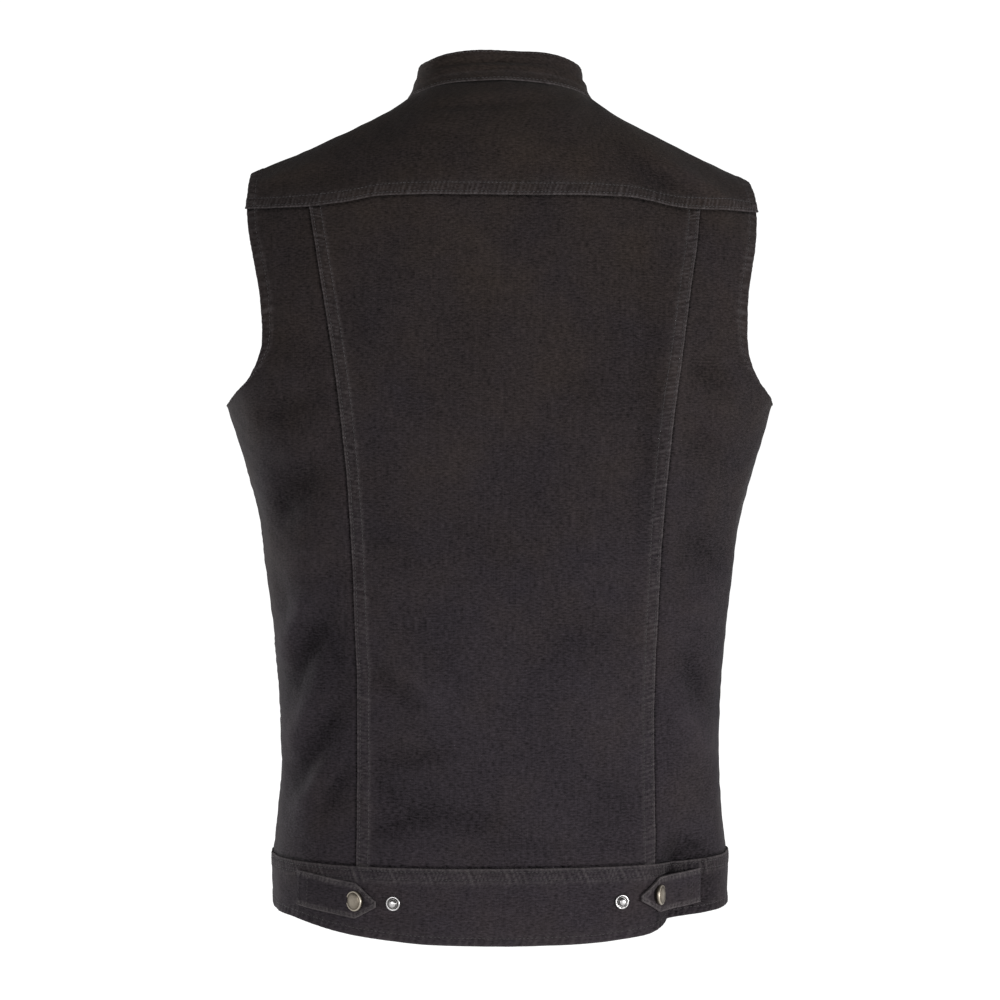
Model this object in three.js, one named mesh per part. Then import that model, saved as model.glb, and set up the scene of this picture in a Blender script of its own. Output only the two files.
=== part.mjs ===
// A sleeveless denim vest as it hangs on a wearer: a back in three panels under a yoke, two fronts that
// lap and snap down a placket, a stand-up band collar, a shaped waistband and two snap tabs on its back.
// Every cloth piece is a wall of even thickness laid over one body form, 0.3 mm apart at the seams.
import * as THREE from "three";

// Sizes are in millimetres. X runs to the wearer's left, Y to the back, Z up.
// "up" is a height above the lowest point of the hem, and "x" is a distance from the centre line.
const CLOTH = 1.5; // one layer of denim
const SEAM_GAP = 0.3; // clearance between two pieces at a seam
const LAYER_GAP = 0.7; // clearance between a piece and the piece it lies on
const SHOULDER_LINE = 606; // height of the middle of the shoulders, where the vest hangs
const ARMPIT = 400; // height of the bottom of the armholes
const BAND_TOP = 56; // height of the seam over the waistband
const SQUARENESS = 2.35; // exponent of the oval plan: 2 is an ellipse, more is squarer
const BEND = { back: 2.7, front: 1.8 }; // how squarely each side turns over the shoulder
const SPREAD = { more: 9, rate: 5.5 }; // the form widens a little above the armpits

// The body form: half width, and depth behind and in front of the side seams, at each height.
const RINGS = [
  { up: -10, wide: 174, back: 117, front: 117 },
  { up: 25, wide: 175.5, back: 117, front: 118 },
  { up: 56, wide: 175.5, back: 116, front: 119 },
  { up: 90, wide: 172, back: 112, front: 118 },
  { up: 137, wide: 170, back: 108, front: 118 },
  { up: 200, wide: 173, back: 110, front: 120 },
  { up: 265, wide: 180, back: 115, front: 124 },
  { up: 312, wide: 186.5, back: 120, front: 128 },
  { up: 359, wide: 198.5, back: 124, front: 130 },
  { up: 400, wide: 211, back: 125, front: 130 },
];

// The top of the shoulders by distance from the centre. Inside the neck it is only a guide.
const SHOULDER = [
  { x: 0, up: 661 },
  { x: 32, up: 656 },
  { x: 52, up: 649 },
  { x: 72, up: 637 },
  { x: 90, up: 625.5 },
  { x: 135, up: 604 },
  { x: 195, up: 577 },
  { x: 230, up: 561 },
];
const LOW_SHOULDER = 0.018; // the right shoulder falls this much more for each mm outwards

// The seams between the centre back and the side backs.
const PRINCESS_SEAM = [
  { up: 56, x: 111 },
  { up: 180, x: 110.5 },
  { up: 254, x: 113 },
  { up: 328, x: 117 },
  { up: 402, x: 124 },
  { up: 476, x: 135 },
  { up: 550, x: 147 },
];

// The seam under the back yoke.
const YOKE_SEAM = [
  { x: 0, up: 553 },
  { x: 70, up: 553.5 },
  { x: 95, up: 553 },
  { x: 120, up: 549 },
  { x: 150, up: 547 },
  { x: 195, up: 548 },
];

// The armhole edge from the side seam up, behind and in front. Each ends at its shoulder seam.
const ARMHOLE_BACK = [
  { x: 211, up: 400 },
  { x: 208, up: 404 },
  { x: 196, up: 415 },
  { x: 188, up: 427 },
  { x: 183.5, up: 441 },
  { x: 182.5, up: 458 },
  { x: 184, up: 484 },
  { x: 188.5, up: 508 },
  { x: 193, up: 530 },
  { x: 194.5, up: 548 },
];
const ARMHOLE_FRONT = [
  { x: 211, up: 400 },
  { x: 206, up: 403 },
  { x: 192, up: 412 },
  { x: 181, up: 426 },
  { x: 175, up: 447 },
  { x: 174, up: 475 },
  { x: 177, up: 505 },
  { x: 183, up: 538 },
  { x: 188, up: 562 },
  { x: 190, up: 576 },
];
const SHOULDER_TIP = 191; // half width over the ends of the shoulders
const SHOULDER_SEAM = 0.1; // how far in front of the shoulder line the yoke ends, a share of the bend

// The neckline: half width, and how far it drops behind and in front, as shares of the bend.
const NECK = { wide: 71, back: 0.243, front: 0.486 };
const COLLAR = { height: 28, thick: 2.6, proud: 0.4, clear: 0.7, rows: 3, endGap: 1.5 };
const COLLAR_LAST_STEP = 2; // degrees: no column of the collar is closer than this to its ends
const COLLAR_LEAN = [
  { turn: 0, lean: 33 },
  { turn: 90, lean: 20 },
  { turn: 180, lean: 24 },
];

// Centre front: each front runs past the centre by half the placket's width, the left over the right.
const PLACKET = { wide: 38, columns: 4 };
const LAP_RAMP = { from: 26, to: 84 }; // the left front rises over the right between these distances

// The waistband is folded double, and stands a little proud of the panels above it.
const BAND = { inner: -1.6, outer: 1.4, rows: 3 };
const BAND_LAP = BAND.outer - BAND.inner + LAYER_GAP;
const HEM_RISE = [
  { x: 0, up: 0 },
  { x: 60, up: 1.2 },
  { x: 100, up: 4.6 },
  { x: 135, up: 9.5 },
  { x: 160, up: 14.5 },
  { x: 176, up: 17 },
];
const FRONT_HEM = { drop: 4, from: 150 }; // the front hem dips from this distance in to the centre

const YOKE_FACES = { inner: -0.6, outer: 0.9 };
const PANEL_FACES = { inner: -CLOTH, outer: 0 };

// A deep upright fold in the right back of the waistband: from "start" the cloth rolls in to the valley,
// then comes back out to "end". It is full up to "level" and gone "fade" above that.
const HIP_FOLD = { start: 100, valley: 128, end: 174, roll: 1.8, deep: 15, level: 46, fade: 38, hemRise: 4 };

// Soft folds: a line from (x0, up0) to (x1, up1), its half width, and how far it stands out or in.
const BACK_FOLDS = [
  { x0: 184, up0: 386, x1: 136, up1: 409, wide: 10, out: -2.6 },
  { x0: 172, up0: 355, x1: 138, up1: 378, wide: 10, out: 1.6 },
  { x0: 178, up0: 312, x1: 136, up1: 350, wide: 13, out: -3 },
  { x0: 170, up0: 280, x1: 126, up1: 292, wide: 12, out: 2 },
  { x0: 170, up0: 208, x1: 148, up1: 258, wide: 8, out: 3 },
  { x0: 164, up0: 178, x1: 136, up1: 240, wide: 9, out: -4 },
  { x0: 124, up0: 190, x1: 127, up1: 240, wide: 8, out: -2 },
  { x0: 164, up0: 138, x1: 146, up1: 178, wide: 8, out: 3 },
  { x0: 162, up0: 104, x1: 120, up1: 180, wide: 9, out: -4 },
  { x0: 156, up0: 92, x1: 136, up1: 126, wide: 8, out: 2.4 },
  { x0: 139, up0: 96, x1: 116, up1: 130, wide: 8, out: -2.6 },
  { x0: 106, up0: 312, x1: 70, up1: 274, wide: 14, out: -2 },
  { x0: 106, up0: 206, x1: 68, up1: 178, wide: 9, out: -3 },
  { x0: 84, up0: 202, x1: 44, up1: 174, wide: 9, out: 2 },
  { x0: 96, up0: 136, x1: 48, up1: 142, wide: 8, out: -2.4 },
  { x0: 102, up0: 126, x1: 80, up1: 102, wide: 8, out: -2 },
  { x0: 100, up0: 84, x1: 56, up1: 98, wide: 9, out: -3 },
  { x0: 56, up0: 98, x1: 4, up1: 90, wide: 9, out: -2.4 },
  { x0: -108, up0: 480, x1: -104, up1: 312, wide: 12, out: -2.4 },
  { x0: -128, up0: 470, x1: -118, up1: 330, wide: 9, out: 1.6 },
  { x0: -136, up0: 430, x1: -166, up1: 414, wide: 11, out: -3 },
  { x0: -130, up0: 300, x1: -168, up1: 280, wide: 13, out: -2.4 },
  { x0: -134, up0: 214, x1: -162, up1: 168, wide: 10, out: -3 },
  { x0: -126, up0: 180, x1: -158, up1: 130, wide: 9, out: 2.4 },
];
const FRONT_FOLDS = [
  { x0: 180, up0: 384, x1: 132, up1: 404, wide: 12, out: -2.6 },
  { x0: 170, up0: 296, x1: 120, up1: 330, wide: 13, out: -2.4 },
  { x0: 164, up0: 176, x1: 118, up1: 226, wide: 11, out: -3 },
  { x0: 150, up0: 100, x1: 96, up1: 140, wide: 11, out: -2.6 },
  { x0: -176, up0: 392, x1: -130, up1: 398, wide: 12, out: -2.4 },
  { x0: -172, up0: 268, x1: -116, up1: 308, wide: 13, out: -2.8 },
  { x0: -160, up0: 150, x1: -104, up1: 196, wide: 11, out: -2.6 },
  { x0: -146, up0: 90, x1: -90, up1: 112, wide: 11, out: -2.2 },
];

// How near the side seams and the waistband's seam the soft folds die out.
const FOLDS_END = { side: 30, band: 30 };

// The tabs: where each is sewn down, where its point lies, and its middle height at both.
const TABS = [
  { side: "left", hand: 1, root: 153, rootUp: 38, tip: 96, tipUp: 30 },
  { side: "right", hand: -1, root: 151, rootUp: 37, tip: 98, tipUp: 33 },
];
const TAB = { wide: 26, point: 15, thick: 2.4, columns: 10, rows: 2, blunt: 2 };
const TAB_SNAP = { cap: 15, stud: 84, up: 31 }; // cap behind the tab's point, stud beside the centre
const CAP_CLEAR = 0.84; // clearance between a tab and its cap, which is flat on the tab's slight curve

// Snap caps: a rim that rises to "rim", then a low dome from "shoulder" inwards.
const SNAP = { radius: 7.5, rim: 0.8, shoulder: 6.45, shoulderHigh: 1.76, high: 2.2, sides: 16 };
// Snap studs: a flat ring of height "well" with a post of radius "post" in the middle, on a wider foot.
const STUD = { radius: 5.4, well: 1, foot: 3.8, post: 2.6, postFoot: 1.4, tip: 2.1, high: 3, sides: 14 };
const FRONT_SNAPS = { count: 6, lowest: 98, highest: 560 };
const BAND_SNAP_UP = 35;

// How finely the walls are divided.
const PANEL_ROW = 20;
const BACK_COLUMNS = 20;
const SIDE_COLUMNS = [0, 0.07, 0.12, 0.17, 0.22, 0.29, 0.4, 0.52, 0.66, 0.82, 1];
const ABOVE_ARMPIT_ROWS = 8;
const LEVEL_FROM = 0.4; // share of the way from the armpits to the yoke where the side backs' rows level out
const FRONT_COLUMNS = 12;
const FRONT_CHEST_ROWS = 9;
const FRONT_NECK_ROWS = 8;
const NECK_ARMHOLE_SHARE = 0.36; // share of the front armhole that lies level with the straight edge
const ARMHOLE_FINENESS = 4; // points measured along the front armhole for each of its rows
const YOKE_ROWS = 9;
const YOKE_NECK_COLUMNS = 14;
const YOKE_SHOULDER_COLUMNS = 7;
const YOKE_NECK_SPREAD = 1.15; // the neckline's columns fan out to this much more of the yoke seam

const DENIM = { color: 0x2c2a2b, roughness: 0.92, metalness: 0 };
const BRASS = { color: 0x6a5233, roughness: 0.42, metalness: 0.85 };
const NICKEL = { color: 0xb6b4ae, roughness: 0.28, metalness: 1 };

const QUARTER = Math.PI / 2;
const degrees = (angle) => (angle * Math.PI) / 180;
const mix = (a, b, share) => a + (b - a) * share;
const clamp = (value, low, high) => Math.min(high, Math.max(low, value));
const steps = (count) => Array.from({ length: count + 1 }, (_, i) => i / count);

function smooth(from, to, value) {
  const share = clamp((value - from) / (to - from), 0, 1);
  return share * share * (3 - 2 * share);
}

// A smooth curve through a table's rows: the value of column "out" where column "by" is at "where".
function follow(table, by, out, where) {
  const last = table.length - 1;
  const at = clamp(where, table[0][by], table[last][by]);
  let i = 0;
  while (i < last - 1 && at > table[i + 1][by]) i += 1;
  const slope = (k) => {
    const a = table[Math.max(0, k - 1)];
    const b = table[Math.min(last, k + 1)];
    return (b[out] - a[out]) / (b[by] - a[by]);
  };
  const span = table[i + 1][by] - table[i][by];
  const t = (at - table[i][by]) / span;
  const rise = table[i + 1][out] - table[i][out];
  const bend = (slope(i) * span - rise) * (1 - t) - (slope(i + 1) * span - rise) * t;
  return mix(table[i][out], table[i + 1][out], t) + t * (1 - t) * bend;
}

// A spot on the body form is { around, over }. "around" is 0 at the centre back, 1 and -1 at the left and
// right side seams and 2 and -2 at the centre front. "over" is -1 at the hem, 0 at the armpits and 1 on
// top of the shoulders; past 1 it comes down the other side.
const power = (base, exponent) => Math.sign(base) * Math.abs(base) ** exponent;
const share = (t) => power(Math.sin(t * QUARTER), 2 / SQUARENESS);
const shareBack = (part) => Math.asin(clamp(power(part, SQUARENESS / 2), -1, 1)) / QUARTER;
const riseAt = (over, side) => Math.sin(over * QUARTER) ** (2 / BEND[side]);
const widthAbove = (rise) => RINGS.at(-1).wide + SPREAD.more * (1 - Math.exp(-rise * SPREAD.rate));
const shoulderAt = (x) => follow(SHOULDER, "x", "up", Math.abs(x)) - LOW_SHOULDER * Math.max(0, -x);

function form(around, over) {
  const hand = around < 0 ? -1 : 1;
  const inFront = Math.abs(around) > 1;
  const t = inFront ? hand * (2 - Math.abs(around)) : around;
  const side = inFront === over > 1 ? "back" : "front";
  const height = over > 1 ? 2 - over : over;
  const depth = Math.max(0, Math.cos(t * QUARTER)) ** (2 / SQUARENESS);
  const toBack = side === "back" ? 1 : -1;
  if (height <= 0) {
    const up = ARMPIT * (1 + height);
    const wide = follow(RINGS, "up", "wide", up);
    return new THREE.Vector3(wide * share(t), toBack * follow(RINGS, "up", side, up) * depth, up);
  }
  const rise = riseAt(height, side);
  const reach = Math.max(0, Math.cos(height * QUARTER)) ** (2 / BEND[side]);
  const x = widthAbove(rise) * share(t);
  const up = ARMPIT + rise * (shoulderAt(x) - ARMPIT);
  return new THREE.Vector3(x, toBack * RINGS.at(-1)[side] * depth * reach, up);
}

// The spot at distance x and height up. "hand" is 1 for the left front, -1 for the right, 0 for the back.
function spotAt(x, up, hand = 0) {
  const side = hand ? "front" : "back";
  let over = up / ARMPIT - 1;
  let wide = follow(RINGS, "up", "wide", up);
  if (up > ARMPIT) {
    const rise = Math.min(1, (up - ARMPIT) / (shoulderAt(x) - ARMPIT));
    over = Math.asin(rise ** (BEND[side] / 2)) / QUARTER;
    wide = widthAbove(rise);
  }
  const t = shareBack(x / wide);
  return { around: hand ? hand * 2 - t : t, over };
}

// The spot at distance x and a given share of the bend over the shoulder.
function spotOver(x, over, hand = 0) {
  const side = hand || over > 1 ? "front" : "back";
  const height = over > 1 ? 2 - over : over;
  const t = shareBack(x / widthAbove(riseAt(height, side)));
  return { around: hand ? hand * 2 - t : t, over };
}

const between = (a, b, part) => ({
  around: mix(a.around, b.around, part),
  over: mix(a.over, b.over, part),
});

// How far one soft fold moves the cloth at a point: full along its line, fading to the sides and ends.
function foldAt(fold, x, up) {
  const along = { x: fold.x1 - fold.x0, up: fold.up1 - fold.up0 };
  const long = Math.hypot(along.x, along.up);
  const part = ((x - fold.x0) * along.x + (up - fold.up0) * along.up) / (long * long);
  const away = ((x - fold.x0) * along.up - (up - fold.up0) * along.x) / long;
  const ends = smooth(-0.25, 0.3, part) * (1 - smooth(0.7, 1.25, part));
  return fold.out * ends * Math.exp(-((away / fold.wide) ** 2));
}

// The share of the hip fold's depth at a point.
function hipFold(x, up) {
  const rolledIn = clamp((-x - HIP_FOLD.start) / (HIP_FOLD.valley - HIP_FOLD.start), 0, 1) ** HIP_FOLD.roll;
  const returned = smooth(HIP_FOLD.valley, HIP_FOLD.end, -x);
  return rolledIn * (1 - returned) * (1 - smooth(HIP_FOLD.level, HIP_FOLD.level + HIP_FOLD.fade, up));
}

// How far all the folds move the cloth. The soft ones die out across the waistband, which is stiffer, and
// at the side seams, where the folds of the back and of the front meet.
function foldsAt(point) {
  const { x, y, z: up } = point;
  const table = y > 0 ? BACK_FOLDS : FRONT_FOLDS;
  const sum = table.reduce((total, fold) => total + foldAt(fold, x, up), 0);
  const nearSide = Math.min(1, Math.abs(y) / FOLDS_END.side);
  const nearBand = smooth(BAND_TOP - FOLDS_END.band, BAND_TOP + FOLDS_END.band, up);
  const hip = y > 0 ? HIP_FOLD.deep * hipFold(x, up) : 0;
  return sum * nearSide * nearBand - hip;
}

const NUDGE = 1e-4; // step along a surface that shows its direction

// The outward direction at a spot of a surface.
function outwardAt(surface, spot) {
  const here = surface(spot.around, spot.over);
  const backwards = Math.abs(spot.around) >= 1 ? -1 : 1;
  const sideways = spot.around < 0 ? -backwards : backwards;
  const turn = sideways > 0 ? -NUDGE : NUDGE;
  const down = spot.over > 1 ? NUDGE : -NUDGE;
  const a = surface(spot.around + turn, spot.over).sub(here).multiplyScalar(Math.sign(turn));
  const b = surface(spot.around, spot.over + down).sub(here).multiplyScalar(Math.sign(down));
  return b.cross(a).normalize();
}

function folded(around, over) {
  const point = form(around, over);
  const amount = foldsAt(point);
  return amount ? point.addScaledVector(outwardAt(form, { around, over }), amount) : point;
}

const lifted = (surface, spot, by) =>
  surface(spot.around, spot.over).addScaledVector(outwardAt(surface, spot), by);

// A closed wall between two sheets of points of the same rows and columns.
function closedWall(outerSheet, innerSheet) {
  const rows = outerSheet.length;
  const columns = outerSheet[0].length;
  const at = (sheet, r, c) => (sheet * rows + r) * columns + c;
  const index = [];
  const quad = (a, b, c, d) => index.push(a, b, c, a, c, d);
  for (let r = 0; r < rows - 1; r += 1) {
    for (let c = 0; c < columns - 1; c += 1) {
      quad(at(0, r, c), at(0, r, c + 1), at(0, r + 1, c + 1), at(0, r + 1, c));
      quad(at(1, r, c), at(1, r + 1, c), at(1, r + 1, c + 1), at(1, r, c + 1));
    }
  }
  for (let c = 0; c < columns - 1; c += 1) {
    quad(at(0, 0, c), at(1, 0, c), at(1, 0, c + 1), at(0, 0, c + 1));
    quad(at(0, rows - 1, c + 1), at(1, rows - 1, c + 1), at(1, rows - 1, c), at(0, rows - 1, c));
  }
  for (let r = 0; r < rows - 1; r += 1) {
    quad(at(0, r + 1, 0), at(1, r + 1, 0), at(1, r, 0), at(0, r, 0));
    quad(at(0, r, columns - 1), at(1, r, columns - 1), at(1, r + 1, columns - 1), at(0, r + 1, columns - 1));
  }
  const points = [...outerSheet.flat(), ...innerSheet.flat()];
  if (enclosed(points, index) < 0) index.reverse();
  const geometry = new THREE.BufferGeometry().setFromPoints(points).setIndex(index);
  geometry.computeVertexNormals();
  return geometry;
}

function enclosed(points, index) {
  let volume = 0;
  for (let i = 0; i < index.length; i += 3) {
    const [a, b, c] = [points[index[i]], points[index[i + 1]], points[index[i + 2]]];
    volume += a.dot(b.clone().cross(c)) / 6;
  }
  return volume;
}

// A cloth wall over a grid of spots. "faces" gives its inner and outer face, and "lift" raises it.
function clothWall(grid, faces, lift = () => 0, surface = folded) {
  const sheet = (offset) =>
    grid.map((row) => row.map((spot) => lifted(surface, spot, offset + lift(form(spot.around, spot.over)))));
  return closedWall(sheet(faces.outer), sheet(faces.inner));
}

function piece(name, geometry, look) {
  const made = new THREE.Mesh(geometry, new THREE.MeshStandardMaterial(look));
  made.name = name;
  return made;
}

const YOKE_END = YOKE_SEAM.at(-1).up;
const princessAt = (up) => follow(PRINCESS_SEAM, "up", "x", up);
const yokeSeamAt = (x) => follow(YOKE_SEAM, "x", "up", Math.abs(x));

// Heights of the panels' rows from the waistband to the armpits.
const LOWER_ROWS = steps(Math.round((ARMPIT - BAND_TOP) / PANEL_ROW)).map((part) =>
  mix(BAND_TOP + SEAM_GAP, ARMPIT, part),
);

// Points along an armhole from the side seam, spread evenly by its length.
function armhole(table, hand, inFront, count) {
  const rows = table.map((row) => spotAt(hand * row.x, row.up, inFront ? hand : 0));
  let length = 0;
  rows.forEach((row, i) => {
    const before = rows[Math.max(0, i - 1)];
    length += form(row.around, row.over).distanceTo(form(before.around, before.over));
    row.length = length;
  });
  return steps(count).map((part) => ({
    around: follow(rows, "length", "around", part * length),
    over: follow(rows, "length", "over", part * length),
  }));
}

function backCentre() {
  const chest = steps(ABOVE_ARMPIT_ROWS).slice(1);
  const rowHeights = (top) => [...LOWER_ROWS, ...chest.map((part) => mix(ARMPIT, top, part))];
  const count = LOWER_ROWS.length + chest.length;
  const grid = Array.from({ length: count }, (_, r) =>
    steps(BACK_COLUMNS).map((part) => {
      const across = 2 * part - 1;
      const edge = princessAt(YOKE_END) * across;
      const up = rowHeights(yokeSeamAt(edge) - SEAM_GAP / 2)[r];
      return spotAt(across * (princessAt(up) - SEAM_GAP / 2), up);
    }),
  );
  return piece("back_centre", clothWall(grid, PANEL_FACES), DENIM);
}

function backSide(name, hand) {
  const curve = armhole(ARMHOLE_BACK, hand, false, ABOVE_ARMPIT_ROWS);
  const seamSpot = (up) => spotAt(hand * (princessAt(up) + SEAM_GAP / 2), up);
  const top = yokeSeamAt(princessAt(YOKE_END)) - SEAM_GAP / 2;
  const grid = LOWER_ROWS.map((up) => {
    const seam = seamSpot(up);
    const side = { around: hand * (1 - sideGapAt(up)), over: seam.over };
    return SIDE_COLUMNS.map((part) => between(seam, side, part));
  });
  curve.slice(1).forEach((edge, i) => {
    const part = (i + 1) / ABOVE_ARMPIT_ROWS;
    const seam = seamSpot(mix(ARMPIT, top, part));
    const level = smooth(LEVEL_FROM, 1, part);
    grid.push(SIDE_COLUMNS.map((column) => levelled(between(seam, edge, column), level)));
  });
  return piece(name, clothWall(grid, PANEL_FACES), DENIM);
}

// Moves a spot towards the yoke seam, so that the panels' top rows run along it.
function levelled(spot, part) {
  const { x, z: up } = form(spot.around, spot.over);
  const top = yokeSeamAt(x) - SEAM_GAP / 2;
  const level = part === 1 ? top : mix(up, Math.min(up, top), part);
  return spotAt(x, level);
}

// Half of the side seam's gap, as a share of the way round at a height.
function sideGapAt(up) {
  const depth = follow(RINGS, "up", "back", up);
  return (2 / Math.PI) * (SEAM_GAP / 2 / depth) ** (SQUARENESS / 2);
}

// The neckline, by the turn from the centre back: 90 degrees at the shoulder line, 180 at the centre front.
function neckOver(turn) {
  const fall = Math.cos(degrees(turn));
  return fall > 0 ? 1 - NECK.back * fall : 1 - NECK.front * fall;
}

const neckSpot = (turn) => spotOver(NECK.wide * Math.sin(degrees(turn)), neckOver(turn));

function neckSpotInFront(turn, hand) {
  return spotOver(hand * NECK.wide * Math.sin(degrees(turn)), 2 - neckOver(turn), hand);
}

// The turn at which the neckline meets the shoulder seam.
const SEAM_TURN = 180 - (Math.acos(SHOULDER_SEAM / NECK.front) * 180) / Math.PI;
const SEAM_SHARE = 0.0015; // half of the shoulder seam's gap, as a share of the bend

function yoke() {
  const reach = follow(ARMHOLE_BACK, "up", "x", ARMHOLE_BACK.at(-1).up);
  const neckPart = YOKE_NECK_COLUMNS / (YOKE_NECK_COLUMNS + 2 * YOKE_SHOULDER_COLUMNS);
  const shoulder = steps(YOKE_SHOULDER_COLUMNS);
  const top = [];
  const bottom = [];
  const seamOver = 1 + SHOULDER_SEAM - SEAM_SHARE;
  const neckEdge = NECK.wide * Math.sin(degrees(SEAM_TURN));
  const innerReach = reach * neckPart * YOKE_NECK_SPREAD;
  const arm = (hand) =>
    shoulder.slice(1).map((part) => ({
      top: spotOver(hand * mix(neckEdge, SHOULDER_TIP, part), seamOver),
      x: hand * mix(innerReach, reach, part),
    }));
  const neck = steps(YOKE_NECK_COLUMNS).map((part) => ({
    top: neckSpot(mix(-SEAM_TURN, SEAM_TURN, part)),
    x: mix(-innerReach, innerReach, part),
  }));
  neck[0].top.over = seamOver;
  neck.at(-1).top.over = seamOver;
  for (const column of [...arm(-1).reverse(), ...neck, ...arm(1)]) {
    top.push(column.top);
    bottom.push(spotAt(column.x, yokeSeamAt(column.x) + SEAM_GAP / 2));
  }
  const grid = steps(YOKE_ROWS).map((part) => bottom.map((spot, c) => between(spot, top[c], part)));
  return piece("yoke", clothWall(grid, YOKE_FACES), DENIM);
}

// Turns of the neckline's rows on a front, from past the centre to the shoulder seam.
const LAP_TURN = 180 + (Math.asin(PLACKET.wide / 2 / NECK.wide) * 180) / Math.PI;
const frontTurns = steps(FRONT_NECK_ROWS).map((part) => mix(LAP_TURN, SEAM_TURN, part));

const lapShare = (x, hand) => 1 - smooth(LAP_RAMP.from, LAP_RAMP.to, hand * x);
const leftLap = (amount) => (point) => (point.y < 0 ? amount * lapShare(point.x, 1) : 0);
const FRONT_LAP = CLOTH + LAYER_GAP;

function frontRows(hand) {
  const lapEdge = -hand * (PLACKET.wide / 2);
  const neckStart = neckSpotInFront(LAP_TURN, hand);
  const neckUp = form(neckStart.around, neckStart.over).z;
  const chest = steps(FRONT_CHEST_ROWS).slice(1);
  const armRows = FRONT_CHEST_ROWS + FRONT_NECK_ROWS;
  const curve = armhole(ARMHOLE_FRONT, hand, true, armRows * ARMHOLE_FINENESS);
  const armAt = (row) => {
    const part =
      row <= FRONT_CHEST_ROWS
        ? (NECK_ARMHOLE_SHARE * row) / FRONT_CHEST_ROWS
        : mix(NECK_ARMHOLE_SHARE, 1, (row - FRONT_CHEST_ROWS) / FRONT_NECK_ROWS);
    return curve[Math.round(part * armRows * ARMHOLE_FINENESS)];
  };
  const rows = LOWER_ROWS.map((up) => ({
    centre: spotAt(lapEdge, up, hand),
    side: { around: hand * (1 + sideGapAt(up)), over: up / ARMPIT - 1 },
  }));
  chest.forEach((part, i) =>
    rows.push({ centre: spotAt(lapEdge, mix(ARMPIT, neckUp, part), hand), side: armAt(i + 1) }),
  );
  frontTurns.slice(1).forEach((turn, i) => {
    rows.push({ centre: neckSpotInFront(turn, hand), side: armAt(FRONT_CHEST_ROWS + i + 1) });
  });
  const last = rows.at(-1);
  const seamOver = 1 - SHOULDER_SEAM - SEAM_SHARE;
  last.centre.over = seamOver;
  last.side = spotOver(hand * SHOULDER_TIP, seamOver, hand);
  return rows;
}

function front(name, hand) {
  const grid = frontRows(hand).map((row) =>
    steps(FRONT_COLUMNS).map((part) => between(row.centre, row.side, part)),
  );
  const lift = hand > 0 ? leftLap(FRONT_LAP) : undefined;
  return piece(name, clothWall(grid, PANEL_FACES, lift), DENIM);
}

function placket() {
  const heights = [...LOWER_ROWS, ...steps(FRONT_CHEST_ROWS).slice(1).map((part) => ARMPIT + part)];
  const topUp = (x) => {
    const turn = 180 - (Math.asin(x / NECK.wide) * 180) / Math.PI;
    const spot = neckSpotInFront(turn, 1);
    return form(spot.around, spot.over).z;
  };
  const grid = heights.map((height) =>
    steps(PLACKET.columns).map((part) => {
      const x = mix(-PLACKET.wide / 2, PLACKET.wide / 2, part);
      const up = height <= ARMPIT ? height : mix(ARMPIT, topUp(x), height - ARMPIT);
      return spotAt(x, up, 1);
    }),
  );
  return piece("placket", clothWall(grid, PANEL_FACES, leftLap(2 * FRONT_LAP)), DENIM);
}

const hemAt = (point) => {
  const rise = follow(HEM_RISE, "x", "up", Math.abs(point.x));
  if (point.y > 0) return rise + HIP_FOLD.hemRise * hipFold(point.x, 0);
  return HEM_RISE.at(-1).up - FRONT_HEM.drop * (1 - smooth(0, FRONT_HEM.from, Math.abs(point.x)));
};

// Stretches of the waistband from its right end round the back to its left end, and their divisions.
const BAND_END = PLACKET.wide / 2;
const BAND_STRETCHES = [
  { to: -1, columns: 19 },
  { to: -0.66, columns: 6 },
  { to: -0.36, columns: 19 },
  { to: 0.46, columns: 13 },
  { to: 1, columns: 9 },
  { to: spotAt(-BAND_END, BAND_TOP, 1).around, columns: 19 },
];

function waistband() {
  const columns = [spotAt(BAND_END, BAND_TOP, -1).around];
  for (const stretch of BAND_STRETCHES) {
    const from = columns.at(-1);
    columns.push(...steps(stretch.columns).slice(1).map((part) => mix(from, stretch.to, part)));
  }
  const grid = steps(BAND.rows).map((part) =>
    columns.map((around) => {
      const hem = hemAt(form(around, BAND_TOP / ARMPIT - 1));
      return { around, over: mix(hem, BAND_TOP, part) / ARMPIT - 1 };
    }),
  );
  const half = columns.length / 2;
  const sheet = (offset) =>
    grid.map((row) =>
      row.map((spot, c) => {
        const lap = c > half ? leftLap(BAND_LAP)(form(spot.around, spot.over)) : 0;
        return lifted(folded, spot, offset + lap);
      }),
    );
  return piece("waistband", closedWall(sheet(BAND.outer), sheet(BAND.inner)), DENIM);
}

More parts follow.
